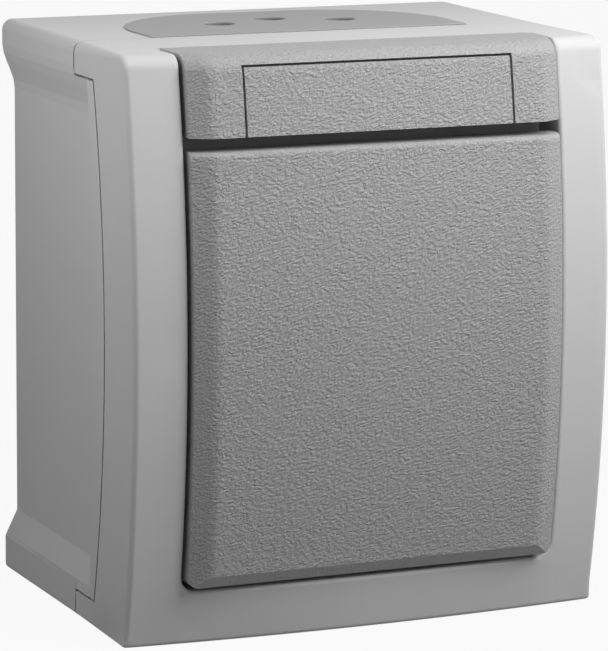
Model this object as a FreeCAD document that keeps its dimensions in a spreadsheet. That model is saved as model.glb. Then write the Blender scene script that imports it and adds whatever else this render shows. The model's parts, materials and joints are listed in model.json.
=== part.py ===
import FreeCAD, Part
import math
import os
import re
import Sketcher

# Outdoor weatherproof switch, in millimetres.
# The wall is the plane Y = 0, the front looks along -Y and Z is up.
# Depths in the formulas are distances forward from the wall.

SIZES = [
    ("boxwide", "66", "width of box and cover"),
    ("boxtall", "75", "height of box and cover"),
    ("boxdeep", "51", "wall to the crest of the key"),
    ("crown", "200", "radius of the bowed front, seen from the side"),
    ("keyrise", "1.2", "crest of the key above the cover's front"),
    ("framearc", "340", "radius of the cover's front, seen from above"),
    ("frontround", "3", "rounding of the cover's top and bottom front edges"),
    ("edgeround", "1.4", "rounding of the cover's side edges"),
    ("baseround", "2.2", "rounding of the base's long edges"),
    ("lipround", "0.45", "rounding of the opening's edge"),
    ("seamback", "13", "crest of the key to the side seam"),
    ("seamarc", "150", "radius of the side seam"),
    ("seamgap", "0.15", "gap in the seam"),
    ("earback", "23.7", "crest of the key to the rear of the cover's ears"),
    ("eartop", "4", "height of the top ears"),
    ("earlow", "3.4", "height of the bottom ears"),
    ("coverwall", "2.4", "wall of the cover"),
    ("floorback", "9.7", "crest of the key to the cover's floor"),
    ("floorthick", "2", "thickness of the cover's floor"),
    ("gasketthick", "1.2", "thickness of the frame gasket"),
    ("tonguegap", "0.2", "slip of the rim tongue in the cover"),
    ("sidewall", "4.4", "side wall of the base"),
    ("endwall", "4.6", "top and bottom wall of the base"),
    ("backwall", "3", "back wall of the base"),
    ("waist", "1.7", "how far the base's sides are set in"),
    ("railtop", "3.2", "height of the rail above the waist"),
    ("raillow", "2.6", "height of the rail below the waist"),
    ("slopetop", "6", "height of the slope from upper rail to waist"),
    ("slopelow", "5.4", "height of the slope from lower rail to waist"),
    ("rimwide", "1.5", "flush rim beside the seam"),
    ("rimslope", "7", "length of the slope from rim to waist"),
    ("openwide", "52", "width of the cover's opening"),
    ("openlow", "7.1", "height of the cover's bottom rail"),
    ("openround", "2", "rounding of the opening's lower corners"),
    ("notchback", "13.3", "crest of the key to the rear of the top notch"),
    ("keygap", "0.45", "gap beside the key and the header"),
    ("keyfloor", "0.6", "gap under the key"),
    ("headgap", "1.75", "gap between header and key"),
    ("headtall", "10.1", "height of the header panel"),
    ("headround", "2.6", "rounding of the header's top edge"),
    ("headwall", "2.2", "wall of the header's top flange"),
    ("bevelwide", "2.6", "width of the side bevels"),
    ("beveldeep", "1.4", "drop of the bevels"),
    ("bevelsoft", "2.5", "rounding between face and bevel"),
    ("lowbevel", "1.65", "height of the key's bottom bevel"),
    ("keyround", "0.8", "rounding of the key's top edge"),
    ("keythick", "2.2", "thickness of the key's face"),
    ("keyskirt", "4", "depth of the key's skirt"),
    ("skirtwall", "1.8", "wall of the skirt"),
    ("labelwide", "37.2", "width of the label insert"),
    ("labeltall", "8.8", "height of the label insert"),
    ("labelgap", "0.14", "groove round the label insert"),
    ("labelback", "4.8", "crest of the key to the label's seat"),
    ("pivotdrop", "4.65", "key's top edge down to its pivot"),
    ("pivotback", "6.4", "crest of the key to its pivot"),
    ("pinradius", "1.2", "radius of the pivot pins"),
    ("pinslack", "0.05", "running clearance of the pins"),
    ("lugplace", "16.4", "middle of the switch to the lugs"),
    ("lugthick", "2.5", "thickness of the lugs"),
    ("lugradius", "2.3", "rounding of the lugs"),
    ("ribgap", "0.3", "gap between lug and rib"),
    ("ribthick", "1.6", "thickness of the key's pivot ribs"),
    ("stopgap", "0.05", "gap at the key's rest stop"),
    ("plungedrop", "5", "mid height down to the plunger"),
    ("stemradius", "3", "radius of the plunger's stem"),
    ("stemslack", "0.08", "running clearance of the stem"),
    ("barrelradius", "4.2", "radius of the plunger's barrel"),
    ("spigotradius", "2", "radius of the plunger's spigot"),
    ("neckradius", "2.5", "radius of the plunger's neck"),
    ("headradius", "4", "radius of the plunger's head"),
    ("plungerise", "2", "plunger's head above the cover's floor"),
    ("pushgap", "0.25", "gap between key and plunger"),
    ("windowradius", "9", "radius of the window in the floor"),
    ("strapplace", "31", "wall to the rear of the mounting strap"),
    ("strapthick", "1.2", "thickness of the strap"),
    ("strapgap", "1.4", "ends of the strap to the base's side walls"),
    ("straptall", "14", "height of the strap"),
    ("strapinset", "5.1", "side walls in to the strap's screws"),
    ("rivetinset", "3.7", "housing's sides in to the strap's rivets"),
    ("rivetslack", "0.05", "clearance of the rivets in their holes"),
    ("housewide", "33", "width of the mechanism housing"),
    ("houselow", "16", "housing below the plunger"),
    ("househigh", "18", "housing above the plunger"),
    ("housewall", "1.6", "wall of the housing"),
    ("housefront", "2", "front wall of the housing"),
    ("baseplace", "9", "wall to the contact base"),
    ("basethick", "2", "thickness of the contact base"),
    ("basehigh", "29.5", "contact base above the plunger"),
    ("pedestal", "4.3", "height of the contact pedestals"),
    ("stripthick", "0.8", "thickness of the brass strips"),
    ("stripwide", "5.6", "width of the brass strips"),
    ("rivetthick", "0.8", "height of the contact rivets"),
    ("rivetradius", "1.6", "radius of the contact rivets"),
    ("contactplace", "9.5", "middle to the contacts"),
    ("contactgap", "1.5", "opening between the contacts"),
    ("bridgewide", "24", "length of the contact bridge"),
    ("bridgetall", "6", "height of the contact bridge"),
    ("wireradius", "0.35", "radius of the spring wire"),
    ("coilradius", "2.8", "mean radius of the spring"),
    ("coilturns", "4", "turns of the spring"),
    ("clampwide", "7", "width of the terminal clamps"),
    ("clamptall", "8", "height of the terminal clamps"),
    ("clampdeep", "8.5", "depth of the terminal clamps"),
    ("clamprise", "20", "plunger up to the foot of the clamps"),
    ("conductor", "1.6", "radius of the clamps' wire holes"),
    ("postradius", "3.4", "radius of the screw posts"),
    ("postgap", "0.6", "gap between housing and cover posts"),
    ("screwhigh", "12", "mid height up to the upper cover screws"),
    ("screwrise", "5.7", "opening's lower edge up to the lower cover screws"),
    ("screwradius", "1.25", "radius of the screw shanks"),
    ("screwslack", "0.05", "clearance of shanks in their posts"),
    ("screwhole", "1.7", "radius of clearance holes"),
    ("screwhead", "2.6", "radius of the screw heads"),
    ("headthick", "2", "height of the screw heads"),
    ("sealthick", "0.8", "thickness of the screw seals"),
    ("screwdeep", "13", "depth of screws below the cover's floor"),
    ("driveslot", "0.7", "width of the drive slots"),
    ("wallhole", "2.25", "radius of the wall screw holes"),
    ("wallspread", "55", "distance between the wall screw holes"),
    ("drainhole", "3", "radius of the drain hole in the bottom wall"),
    ("drainplace", "15", "wall to the drain hole"),
    ("relief", "0.8", "depth of the relief in the back"),
    ("reliefedge", "4.5", "border round the relief"),
    ("reliefband", "5.5", "half width of the upright band with the wall holes"),
    ("reliefbar", "2", "half height of the level bar across the back"),
    ("entryradius", "22.3", "radius of the entry membrane's flange"),
    ("entryhole", "19.8", "radius of the membrane's hole"),
    ("entryrise", "0.45", "membrane's flange above the top wall"),
    ("entrybar", "2", "wall left in front of the membrane's hole"),
    ("entrylip", "1.5", "membrane's inner lip past its hole"),
    ("entryskin", "1.4", "thickness of the membrane's skin"),
    ("dimple", "1.95", "radius of the cable entry dimples"),
    ("dimpledeep", "0.5", "depth of the dimples"),
    ("dimplespread", "8.3", "middle to the outer dimples"),
    ("dimplerow", "8.8", "cover's ears to the row of outer dimples"),
    ("dimplestep", "3.6", "middle dimple behind the row"),
]

PLACES = [
    ("halfwide", "boxwide / 2"),
    ("halftall", "boxtall / 2"),
    ("crownaxis", "boxdeep - crown"),
    ("seamdepth", "boxdeep - seamback"),
    ("seamaxis", "seamdepth - seamarc"),
    ("earrear", "boxdeep - earback"),
    ("earunder", "halftall - eartop"),
    ("earover", "earlow - halftall"),
    ("floorfront", "boxdeep - floorback"),
    ("floorrear", "floorfront - floorthick"),
    ("tonguefront", "floorrear - gasketthick"),
    ("tonguewide", "halfwide - coverwall - tonguegap"),
    ("tonguetall", "halftall - coverwall - tonguegap"),
    ("cavitywide", "halfwide - sidewall"),
    ("cavitytall", "halftall - endwall"),
    ("openhalf", "openwide / 2"),
    ("openbottom", "openlow - halftall"),
    ("notchrear", "boxdeep - notchback"),
    ("keyhalf", "openhalf - keygap"),
    ("headlow", "halftall - headtall"),
    ("keytop", "headlow - headgap"),
    ("keybottom", "openbottom + keyfloor"),
    ("labelseat", "boxdeep - labelback"),
    ("labeltop", "headlow + labeltall"),
    ("pivothigh", "keytop - pivotdrop"),
    ("pivotdepth", "boxdeep - pivotback"),
    ("ribplace", "lugplace + lugthick + ribgap"),
    ("plungehigh", "0 - plungedrop"),
    ("platefront", "baseplace + basethick"),
    ("stripback", "platefront + pedestal"),
    ("stripfront", "stripback + stripthick"),
    ("fixedface", "stripfront + rivetthick"),
    ("movingface", "fixedface + contactgap"),
    ("bridgeback", "movingface + rivetthick"),
    ("bridgefront", "bridgeback + stripthick"),
    ("guideback", "strapplace - housefront"),
    ("plungefront", "floorfront + plungerise"),
    ("strapwide", "2 * (cavitywide - strapgap)"),
    ("strapscrew", "cavitywide - strapinset"),
    ("rivetplace", "housewide / 2 - rivetinset"),
    ("rivethole", "rivetradius - 0.6 + rivetslack"),
    ("screwside", "housewide / 2 + postgap + postradius"),
    ("screwlow", "0 - openbottom - screwrise"),
    ("keycorner", "openround - keygap"),
    ("strapfront", "strapplace + strapthick"),
    ("clampback", "stripfront"),
    ("clampfront", "clampback + clampdeep"),
    ("clamplow", "plungehigh + clamprise"),
    ("entrychord", "earrear - entrybar"),
]

doc = FreeCAD.newDocument("weatherproof_switch")
sheet = doc.addObject("Spreadsheet::Sheet", "sizes")


def fill_sheet():
    """Write every named size, and then the places worked out from them."""
    for index, (alias, value, note) in enumerate(SIZES, start=1):
        sheet.set("A%d" % index, note)
        sheet.set("B%d" % index, value)
        sheet.setAlias("B%d" % index, alias)
    for index, (alias, formula) in enumerate(PLACES, start=len(SIZES) + 1):
        sheet.set("B%d" % index, "=" + formula)
        sheet.setAlias("B%d" % index, alias)
    sheet.recompute()


NAMES = {row[0] for row in SIZES} | {row[0] for row in PLACES}
WORD = re.compile("[a-z]+")
KNOWN = {}
WAIST_STEPS = 5
BOW_SWEEP = 32


def bound(formula):
    """Point each named size of a formula at the sheet."""
    return WORD.sub(lambda found: "sizes." + found[0] if found[0] in NAMES else found[0], formula)


def number(formula):
    """The present value of a formula, worked out by the sheet."""
    if formula not in KNOWN:
        sheet.set("D1", "=" + formula)
        sheet.recompute()
        KNOWN[formula] = float(sheet.get("D1"))
    return KNOWN[formula]


def bow(axis, radius, height):
    """Depth of an arc round a level axis, at a height."""
    return "(%s + sqrt((%s)^2 - (%s)^2))" % (axis, radius, height)


def crest(height):
    """Depth of the bowed front of key and header, at a height."""
    return bow("crownaxis", "crown", height)


fill_sheet()


class Solid:
    """One moulded or stamped piece, grown feature by feature in its own body."""

    def __init__(self, label):
        self.body = doc.addObject("PartDesign::Body", label)
        self.body.Label = label

    def plane(self, role):
        """An origin plane of the body."""
        return [item for item in self.body.Origin.OriginFeatures if item.Role == role][0]

    def sketch(self, view, offset="0"):
        """A sketch seen from the front, the side or the top, moved along its normal."""
        role = {"front": "XZ_Plane", "side": "YZ_Plane", "top": "XY_Plane"}[view]
        return Outline(self, view, self.plane(role), offset)

    def grow(self, kind, profile, **formulas):
        """Add a feature that uses a profile."""
        made = self.body.newObject("PartDesign::" + kind, kind.lower())
        made.Profile = profile.item
        profile.item.Visibility = False
        for name, formula in formulas.items():
            made.setExpression(name, bound(formula))
        self.body.Tip = made
        return made

    def pad(self, profile, length, both=False, back=False):
        """Add material along the sketch's normal."""
        made = self.grow("Pad", profile, Length=length)
        made.SideType = "Symmetric" if both else "One side"
        made.Reversed = back
        return made

    def pocket(self, profile, length, both=False, forward=False):
        """Take material away against the sketch's normal, or along it."""
        made = self.grow("Pocket", profile, Length=length)
        made.SideType = "Symmetric" if both else "One side"
        made.Reversed = forward
        return made

    def turn(self, kind, profile, axis, degrees):
        """Revolve a profile about one of its sketch's axes."""
        made = self.grow(kind, profile)
        made.ReferenceAxis = (profile.item, [axis])
        made.Angle = degrees
        made.Midplane = True
        return made

    def mirror(self, feature):
        """Repeat a feature on the other side of the middle plane."""
        made = self.body.newObject("PartDesign::Mirrored", "mirrored")
        made.Originals = [feature]
        made.MirrorPlane = (self.plane("YZ_Plane"), [""])
        self.body.Tip = made
        return made

    def round(self, radius, pick, kind="Fillet"):
        """Round the edges that a test picks."""
        doc.recompute()
        base = self.body.Tip
        names = ["Edge%d" % place for place, edge in enumerate(base.Shape.Edges, start=1) if pick(edge)]
        if not names:
            raise RuntimeError("no edge to round on " + self.body.Label)
        made = self.body.newObject("PartDesign::" + kind, kind.lower())
        made.Base = (base, names)
        made.setExpression("Radius", bound(radius))
        self.body.Tip = made
        return made


class Outline:
    """A sketch whose every point, arc and circle is held by a formula."""

    def __init__(self, solid, view, plane, offset):
        self.view = view
        self.item = solid.body.newObject("Sketcher::SketchObject", "outline")
        self.item.AttachmentSupport = [(plane, "")]
        self.item.MapMode = "FlatFace"
        if offset != "0":
            self.item.setExpression("AttachmentOffset.Base.z", bound(offset))

    def flip(self, first, second):
        """Turn a depth into the sketch's own direction, which points to the wall."""
        if self.view == "side":
            return "-(%s)" % first, second
        if self.view == "top":
            return first, "-(%s)" % second
        return first, second

    def hold(self, kind, formula, *places):
        """Add a constraint and bind it to a formula."""
        index = self.item.addConstraint(Sketcher.Constraint(kind, *places, number(formula)))
        self.item.setExpression("Constraints[%d]" % index, bound(formula))

    def fix(self, geometry, place, point):
        """Hold a point at two formulas."""
        self.hold("DistanceX", point[0], -1, 1, geometry, place)
        self.hold("DistanceY", point[1], -1, 1, geometry, place)

    def ring(self, first, second, radius):
        """Draw a circle."""
        point = self.flip(first, second)
        centre = FreeCAD.Vector(number(point[0]), number(point[1]), 0)
        circle = Part.Circle(centre, FreeCAD.Vector(0, 0, 1), number(radius))
        index = self.item.addGeometry(circle)
        self.hold("Radius", radius, index)
        self.fix(index, 3, point)
        return self

    def rect(self, left, right, low, high):
        """Draw a rectangle."""
        return self.walk([(left, low), (right, low), (right, high), (left, high)])

    def axis(self, depth):
        """Draw the level construction line that the front is bowed about."""
        ends = [self.flip("-halfwide", depth), self.flip("halfwide", depth)]
        spots = [FreeCAD.Vector(number(end[0]), number(end[1]), 0) for end in ends]
        index = self.item.addGeometry(Part.LineSegment(*spots), True)
        self.fix(index, 1, ends[0])
        self.fix(index, 2, ends[1])
        return self

    def walk(self, points, arcs=None):
        """Draw a closed outline; arcs maps a span to its radius and the side of its centre."""
        arcs = arcs or {}
        points = [self.flip(*point) for point in points]
        spots = [FreeCAD.Vector(number(first), number(second), 0) for first, second in points]
        spans = []
        for place, start in enumerate(spots):
            end = spots[(place + 1) % len(spots)]
            if place in arcs:
                spans.append(self.bend(start, end, *arcs[place]))
            else:
                spans.append((self.item.addGeometry(Part.LineSegment(start, end)), 1, 2))
        for place, (index, first, last) in enumerate(spans):
            after = spans[(place + 1) % len(spans)]
            self.item.addConstraint(Sketcher.Constraint("Coincident", index, last, after[0], after[1]))
        for point, (index, first, last) in zip(points, spans):
            self.fix(index, first, point)
        return self

    def bend(self, start, end, radius, left):
        """Draw an arc from start to end, with its centre on the left or the right."""
        size = number(radius)
        chord = end - start
        across = FreeCAD.Vector(-chord.y, chord.x, 0).normalize()
        reach = math.sqrt(size ** 2 - (chord.Length / 2) ** 2)
        centre = (start + end) * 0.5 + across * (reach if left else -reach)
        first, last = (start, end) if left else (end, start)
        angles = [math.atan2(spot.y - centre.y, spot.x - centre.x) for spot in (first, last)]
        if angles[1] < angles[0]:
            angles[1] += 2 * math.pi
        circle = Part.Circle(centre, FreeCAD.Vector(0, 0, 1), size)
        index = self.item.addGeometry(Part.ArcOfCircle(circle, *angles))
        self.hold("Radius", radius, index)
        return (index, 1, 2) if left else (index, 2, 1)


def close(value, formula):
    """Is a measured value at a formula's value?"""
    return abs(value - number(formula)) < 0.01


def along_depth(edge):
    """Does an edge run straight from front to back?"""
    box = edge.BoundBox
    return box.XLength < 0.01 and box.ZLength < 0.01


def on_side(edge):
    """Does an edge lie in one of the side planes?"""
    box = edge.BoundBox
    return box.XLength < 0.01 and close(abs(box.XMax), "halfwide")


def build_base():
    """The wall box: block, seam, rim tongue, cavity, posts, waist and holes."""
    solid = Solid("base_box")
    block = solid.sketch("front").rect("-halfwide", "halfwide", "-halftall", "halftall")
    solid.pad(block, "seamdepth")
    solid.round("baseround", lambda edge: along_depth(edge) and on_side(edge))
    high = "(earunder - seamgap)"
    low = "(earover + seamgap)"
    rear = "(earrear - seamgap)"
    inner = "(seamarc - seamgap)"
    trim = [
        (rear, "halftall + 1"),
        (rear, high),
        (bow("seamaxis", inner, high), high),
        (bow("seamaxis", inner, low), low),
        (rear, low),
        (rear, "-halftall - 1"),
        ("boxdeep", "-halftall - 1"),
        ("boxdeep", "halftall + 1"),
    ]
    solid.pocket(solid.sketch("side").walk(trim, {2: (inner, True)}), "boxwide + 4", both=True)
    tongue = solid.sketch("front", "earrear - 6")
    tongue.rect("-tonguewide", "tonguewide", "-tonguetall", "tonguetall")
    solid.pad(tongue, "tonguefront - earrear + 6")
    cavity = solid.sketch("front", "backwall")
    cavity.rect("-cavitywide", "cavitywide", "-cavitytall", "cavitytall")
    solid.pocket(cavity, "boxdeep", forward=True)
    carriers = solid.sketch("front", "backwall")
    carriers.ring("strapscrew", "plungehigh", "postradius").ring("-strapscrew", "plungehigh", "postradius")
    solid.pad(carriers, "strapplace - backwall")
    posts = solid.sketch("front", "backwall")
    for side in ("screwside", "-screwside"):
        posts.ring(side, "screwhigh", "postradius").ring(side, "-screwlow", "postradius")
    solid.pad(posts, "floorrear - backwall")
    drilled = solid.sketch("front", "boxdeep")
    for side in ("screwside", "-screwside"):
        for high in ("screwhigh", "-screwlow"):
            drilled.ring(side, high, "screwradius + screwslack")
    solid.pocket(drilled, "floorback + floorthick + screwdeep")
    tapped = solid.sketch("front", "strapplace")
    for side in ("strapscrew", "-strapscrew"):
        tapped.ring(side, "plungehigh", "screwradius + screwslack")
    solid.pocket(tapped, "screwdeep")
    fixing = solid.sketch("front", "backwall")
    fixing.ring("0", "wallspread / 2", "wallhole").ring("0", "-wallspread / 2", "wallhole")
    solid.pocket(fixing, "backwall + 1")
    entry = solid.sketch("top", "halftall + 1")
    half_disc(entry, "entrychord", "entryhole")
    solid.pocket(entry, "endwall + 1.01")
    drain = solid.sketch("top", "endwall + 1 - halftall").ring("0", "drainplace", "drainhole")
    solid.pocket(drain, "endwall + 2")
    back = solid.sketch("front")
    far = "(halfwide - waist - reliefedge)"
    high = "(halftall - reliefedge)"
    for left, right in (("reliefband", far), ("-" + far, "-reliefband")):
        back.rect(left, right, "reliefbar", high)
        back.rect(left, right, "-" + high, "-reliefbar")
    solid.pocket(back, "relief", forward=True)
    solid.mirror(sink_waist(solid))
    return solid


def sink_waist(solid):
    """Sink one side in an S curve: a loft through outlines that shrink as they go in."""
    sections = []
    for step in range(WAIST_STEPS + 1):
        way = step / WAIST_STEPS
        depth = way * way * (3 - 2 * way)
        outline = solid.sketch("side", "halfwide - waist * %.4f" % depth)
        high = "(halftall - railtop - slopetop * %.4f)" % way
        low = "(halftall - raillow - slopelow * %.4f)" % way
        radius = "(seamarc - rimwide - rimslope * %.4f)" % way
        waist_outline(outline, high, low, radius)
        outline.item.Visibility = False
        sections.append(outline)
    sunk = solid.grow("SubtractiveLoft", sections[0])
    sunk.Sections = [(outline.item, [""]) for outline in sections[1:]]
    sunk.Ruled = True
    return sunk


def half_disc(sketch, chord, radius):
    """A disc centred under the rear of the cover's ears, cut straight at a chord."""
    reach = "sqrt((%s)^2 - (earrear - (%s))^2)" % (radius, chord)
    sketch.walk([("-" + reach, chord), (reach, chord)], {1: (radius, True)})
    return sketch


def waist_outline(sketch, high, low, radius):
    """The outline of the sunk side: an arc along the seam, open to the wall."""
    points = [
        ("-1", high),
        (bow("seamaxis", radius, high), high),
        (bow("seamaxis", radius, low), "-" + low),
        ("-1", "-" + low),
    ]
    sketch.walk(points, {1: (radius, True)})


def build_frame():
    """The cover: bowed front, opening with top notch, sealed floor, ears and pivot lugs."""
    solid = Solid("front_frame")
    block = solid.sketch("front", "earrear").rect("-halfwide", "halfwide", "-halftall", "halftall")
    solid.pad(block, "boxdeep - earrear")
    face = "(boxdeep - keyrise)"
    wide = "(halfwide + 2)"
    shoulder = "(%s - framearc + sqrt(framearc^2 - %s^2))" % (face, wide)
    bowed = solid.sketch("top").axis("crownaxis")
    points = [
        ("-" + wide, "boxdeep + 6"),
        (wide, "boxdeep + 6"),
        (wide, shoulder),
        ("-" + wide, shoulder),
    ]
    bowed.walk(points, {2: ("framearc", False)})
    solid.turn("Groove", bowed, "Axis0", BOW_SWEEP)

    def top_front(edge):
        box = edge.BoundBox
        level = box.ZLength < 0.01 and close(abs(box.ZMax), "halftall")
        return level and box.YMax < -number("seamdepth")

    solid.round("frontround", top_front)
    rear = number("earrear")
    solid.round("edgeround", lambda edge: on_side(edge) and edge.BoundBox.YMin < -rear - 0.01)
    cavity = solid.sketch("front", "earrear")
    cavity.rect("-halfwide + coverwall", "halfwide - coverwall", "-halftall + coverwall", "halftall - coverwall")
    solid.pocket(cavity, "floorrear - earrear", forward=True)
    opening = solid.sketch("front", "boxdeep + 2")
    opening.rect("-openhalf", "openhalf", "openbottom", "halftall + 2")
    solid.pocket(opening, "floorback + 2")

    def low_corner(edge):
        box = edge.BoundBox
        return along_depth(edge) and close(abs(box.XMax), "openhalf") and close(box.ZMax, "openbottom")

    solid.round("openround", low_corner)
    notch = solid.sketch("front", "boxdeep + 2")
    notch.rect("-openhalf", "openhalf", "halftall - coverwall", "halftall + 2")
    solid.pocket(notch, "notchback + 2")

    def lip(edge):
        box = edge.BoundBox
        inside = abs(box.Center.x) < number("openhalf") + 0.01 and box.ZMin > number("openbottom") - 0.01
        front = box.YMax < -number("floorfront + 1") and not along_depth(edge)
        over = along_depth(edge) and close(box.ZMax, "halftall") and close(abs(box.XMax), "openhalf")
        return inside and (front or over)

    solid.round("lipround", lip)
    behind = [
        ("earrear - 3", "earunder"),
        (bow("seamaxis", "seamarc", "earunder"), "earunder"),
        (bow("seamaxis", "seamarc", "earover"), "earover"),
        ("earrear - 3", "earover"),
    ]
    solid.pocket(solid.sketch("side").walk(behind, {1: ("seamarc", True)}), "boxwide + 4", both=True)
    holes = solid.sketch("front", "floorfront")
    holes.ring("0", "plungehigh", "windowradius")
    for side in ("screwside", "-screwside"):
        for high in ("screwhigh", "-screwlow"):
            holes.ring(side, high, "screwhole")
    solid.pocket(holes, "floorthick")
    lug = solid.sketch("side", "lugplace")
    foot = "(lugradius + 0.5)"
    half = "(lugradius * 0.95)"
    points = [
        ("floorfront - 0.5", "pivothigh - " + foot),
        ("floorfront - 0.5", "pivothigh + " + foot),
        ("pivotdepth", "pivothigh + " + half),
        ("pivotdepth", "pivothigh - " + half),
    ]
    lug.walk(points, {2: ("lugradius", True)})
    lug.ring("pivotdepth", "pivothigh", "pinradius + pinslack")
    solid.mirror(solid.pad(lug, "lugthick"))
    return solid


def build_gasket():
    """The rubber ring on the rim tongue."""
    solid = Solid("frame_gasket")
    ring = solid.sketch("front", "tonguefront")
    ring.rect("-tonguewide", "tonguewide", "-tonguetall", "tonguetall")
    ring.rect("-cavitywide", "cavitywide", "-cavitytall", "cavitytall")
    solid.pad(ring, "gasketthick")
    return solid


def bevel_sides(solid):
    """Slope the long sides of key or header along the bowed front."""
    cut = solid.sketch("top").axis("crownaxis")
    inner = "(keyhalf - bevelwide)"
    outer = "(keyhalf + 1)"
    for sign in ("", "-"):
        cut.walk(
            [
                (sign + inner, "boxdeep"),
                (sign + "keyhalf", "boxdeep - beveldeep"),
                (sign + outer, "boxdeep - beveldeep"),
                (sign + outer, "boxdeep + 1"),
                (sign + inner, "boxdeep + 1"),
            ]
        )
    solid.turn("Groove", cut, "Axis0", BOW_SWEEP)

    def where_bevel_starts(edge):
        box = edge.BoundBox
        return box.XLength < 0.01 and close(abs(box.XMax), inner) and box.ZLength > number("bevelsoft")

    solid.round("bevelsoft", where_bevel_starts)


def build_header():
    """The fixed panel above the key, over the top edge, with the seat of the label."""
    solid = Solid("header_panel")
    wall = "(labelseat - headwall)"
    points = [
        ("notchrear + keygap / 2", "halftall"),
        (crest("halftall"), "halftall"),
        (crest("headlow"), "headlow"),
        (wall + " - 1.5", "headlow"),
        (wall + " - 1.5", "headlow + skirtwall"),
        (wall, "headlow + skirtwall"),
        (wall, "halftall - headwall"),
        ("notchrear + keygap / 2", "halftall - headwall"),
    ]
    solid.pad(solid.sketch("side").walk(points, {1: ("crown", True)}), "2 * keyhalf", both=True)
    round_top(solid)
    bevel_sides(solid)
    pegs = solid.sketch("front", "floorfront")
    pegs.ring("keyhalf / 2", "headlow + headtall / 2", "2").ring("-keyhalf / 2", "headlow + headtall / 2", "2")
    solid.pad(pegs, "labelseat - headwall - floorfront + 0.5")
    seat = solid.sketch("front", "boxdeep + 2")
    seat.rect("-labelwide / 2", "labelwide / 2", "headlow - 1", "labeltop")
    solid.pocket(seat, "labelback + 2")
    return solid


def round_top(solid):
    """Round the long top edge over which the header turns."""

    def top_edge(edge):
        box = edge.BoundBox
        level = box.YLength < 0.01 and box.ZLength < 0.01 and close(box.ZMax, "halftall")
        return level and close(-box.YMax, crest("halftall"))

    solid.round("headround", top_edge)


def build_label():
    """The insert in the header, with the header's own bow and rounding."""
    solid = Solid("label_cover")
    points = [
        ("labelseat - headround", "halftall"),
        (crest("halftall"), "halftall"),
        (crest("headlow"), "headlow"),
        ("labelseat - headround", "headlow"),
    ]
    width = "labelwide - 2 * labelgap"
    solid.pad(solid.sketch("side").walk(points, {1: ("crown", True)}), width, both=True)
    round_top(solid)
    spare = solid.sketch("front", "boxdeep")
    spare.rect("-boxwide", "boxwide", "labeltop - labelgap", "halftall + 1")
    solid.pocket(spare, "boxdeep")
    back = solid.sketch("front", "labelseat")
    back.rect("-boxwide", "boxwide", "headlow - 1", "halftall + 1")
    solid.pocket(back, "boxdeep")
    return solid


def build_membrane():
    """The soft entry plate: flange, plug, inner lip, hollow underside and three dimples."""
    solid = Solid("entry_membrane")
    flange = solid.sketch("top", "halftall")
    half_disc(flange, "earrear - seamgap", "entryradius")
    solid.pad(flange, "entryrise")
    plug = solid.sketch("top", "halftall")
    half_disc(plug, "entrychord", "entryhole")
    solid.pad(plug, "endwall", back=True)
    lip = solid.sketch("top", "halftall - endwall")
    half_disc(lip, "entrychord + entrylip / 2", "entryhole + entrylip")
    solid.pad(lip, "entrylip / 2", back=True)
    under = solid.sketch("top", "halftall - endwall - entrylip")
    half_disc(under, "entrychord - entryskin", "entryhole - entryskin")
    solid.pocket(under, "endwall + entrylip + entryrise - entryskin", forward=True)
    dots = solid.sketch("top", "halftall + entryrise")
    row = "earrear - dimplerow"
    dots.ring("dimplespread", row, "dimple").ring("-dimplespread", row, "dimple")
    dots.ring("0", row + " - dimplestep", "dimple")
    solid.pocket(dots, "dimpledeep")
    return solid


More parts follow.
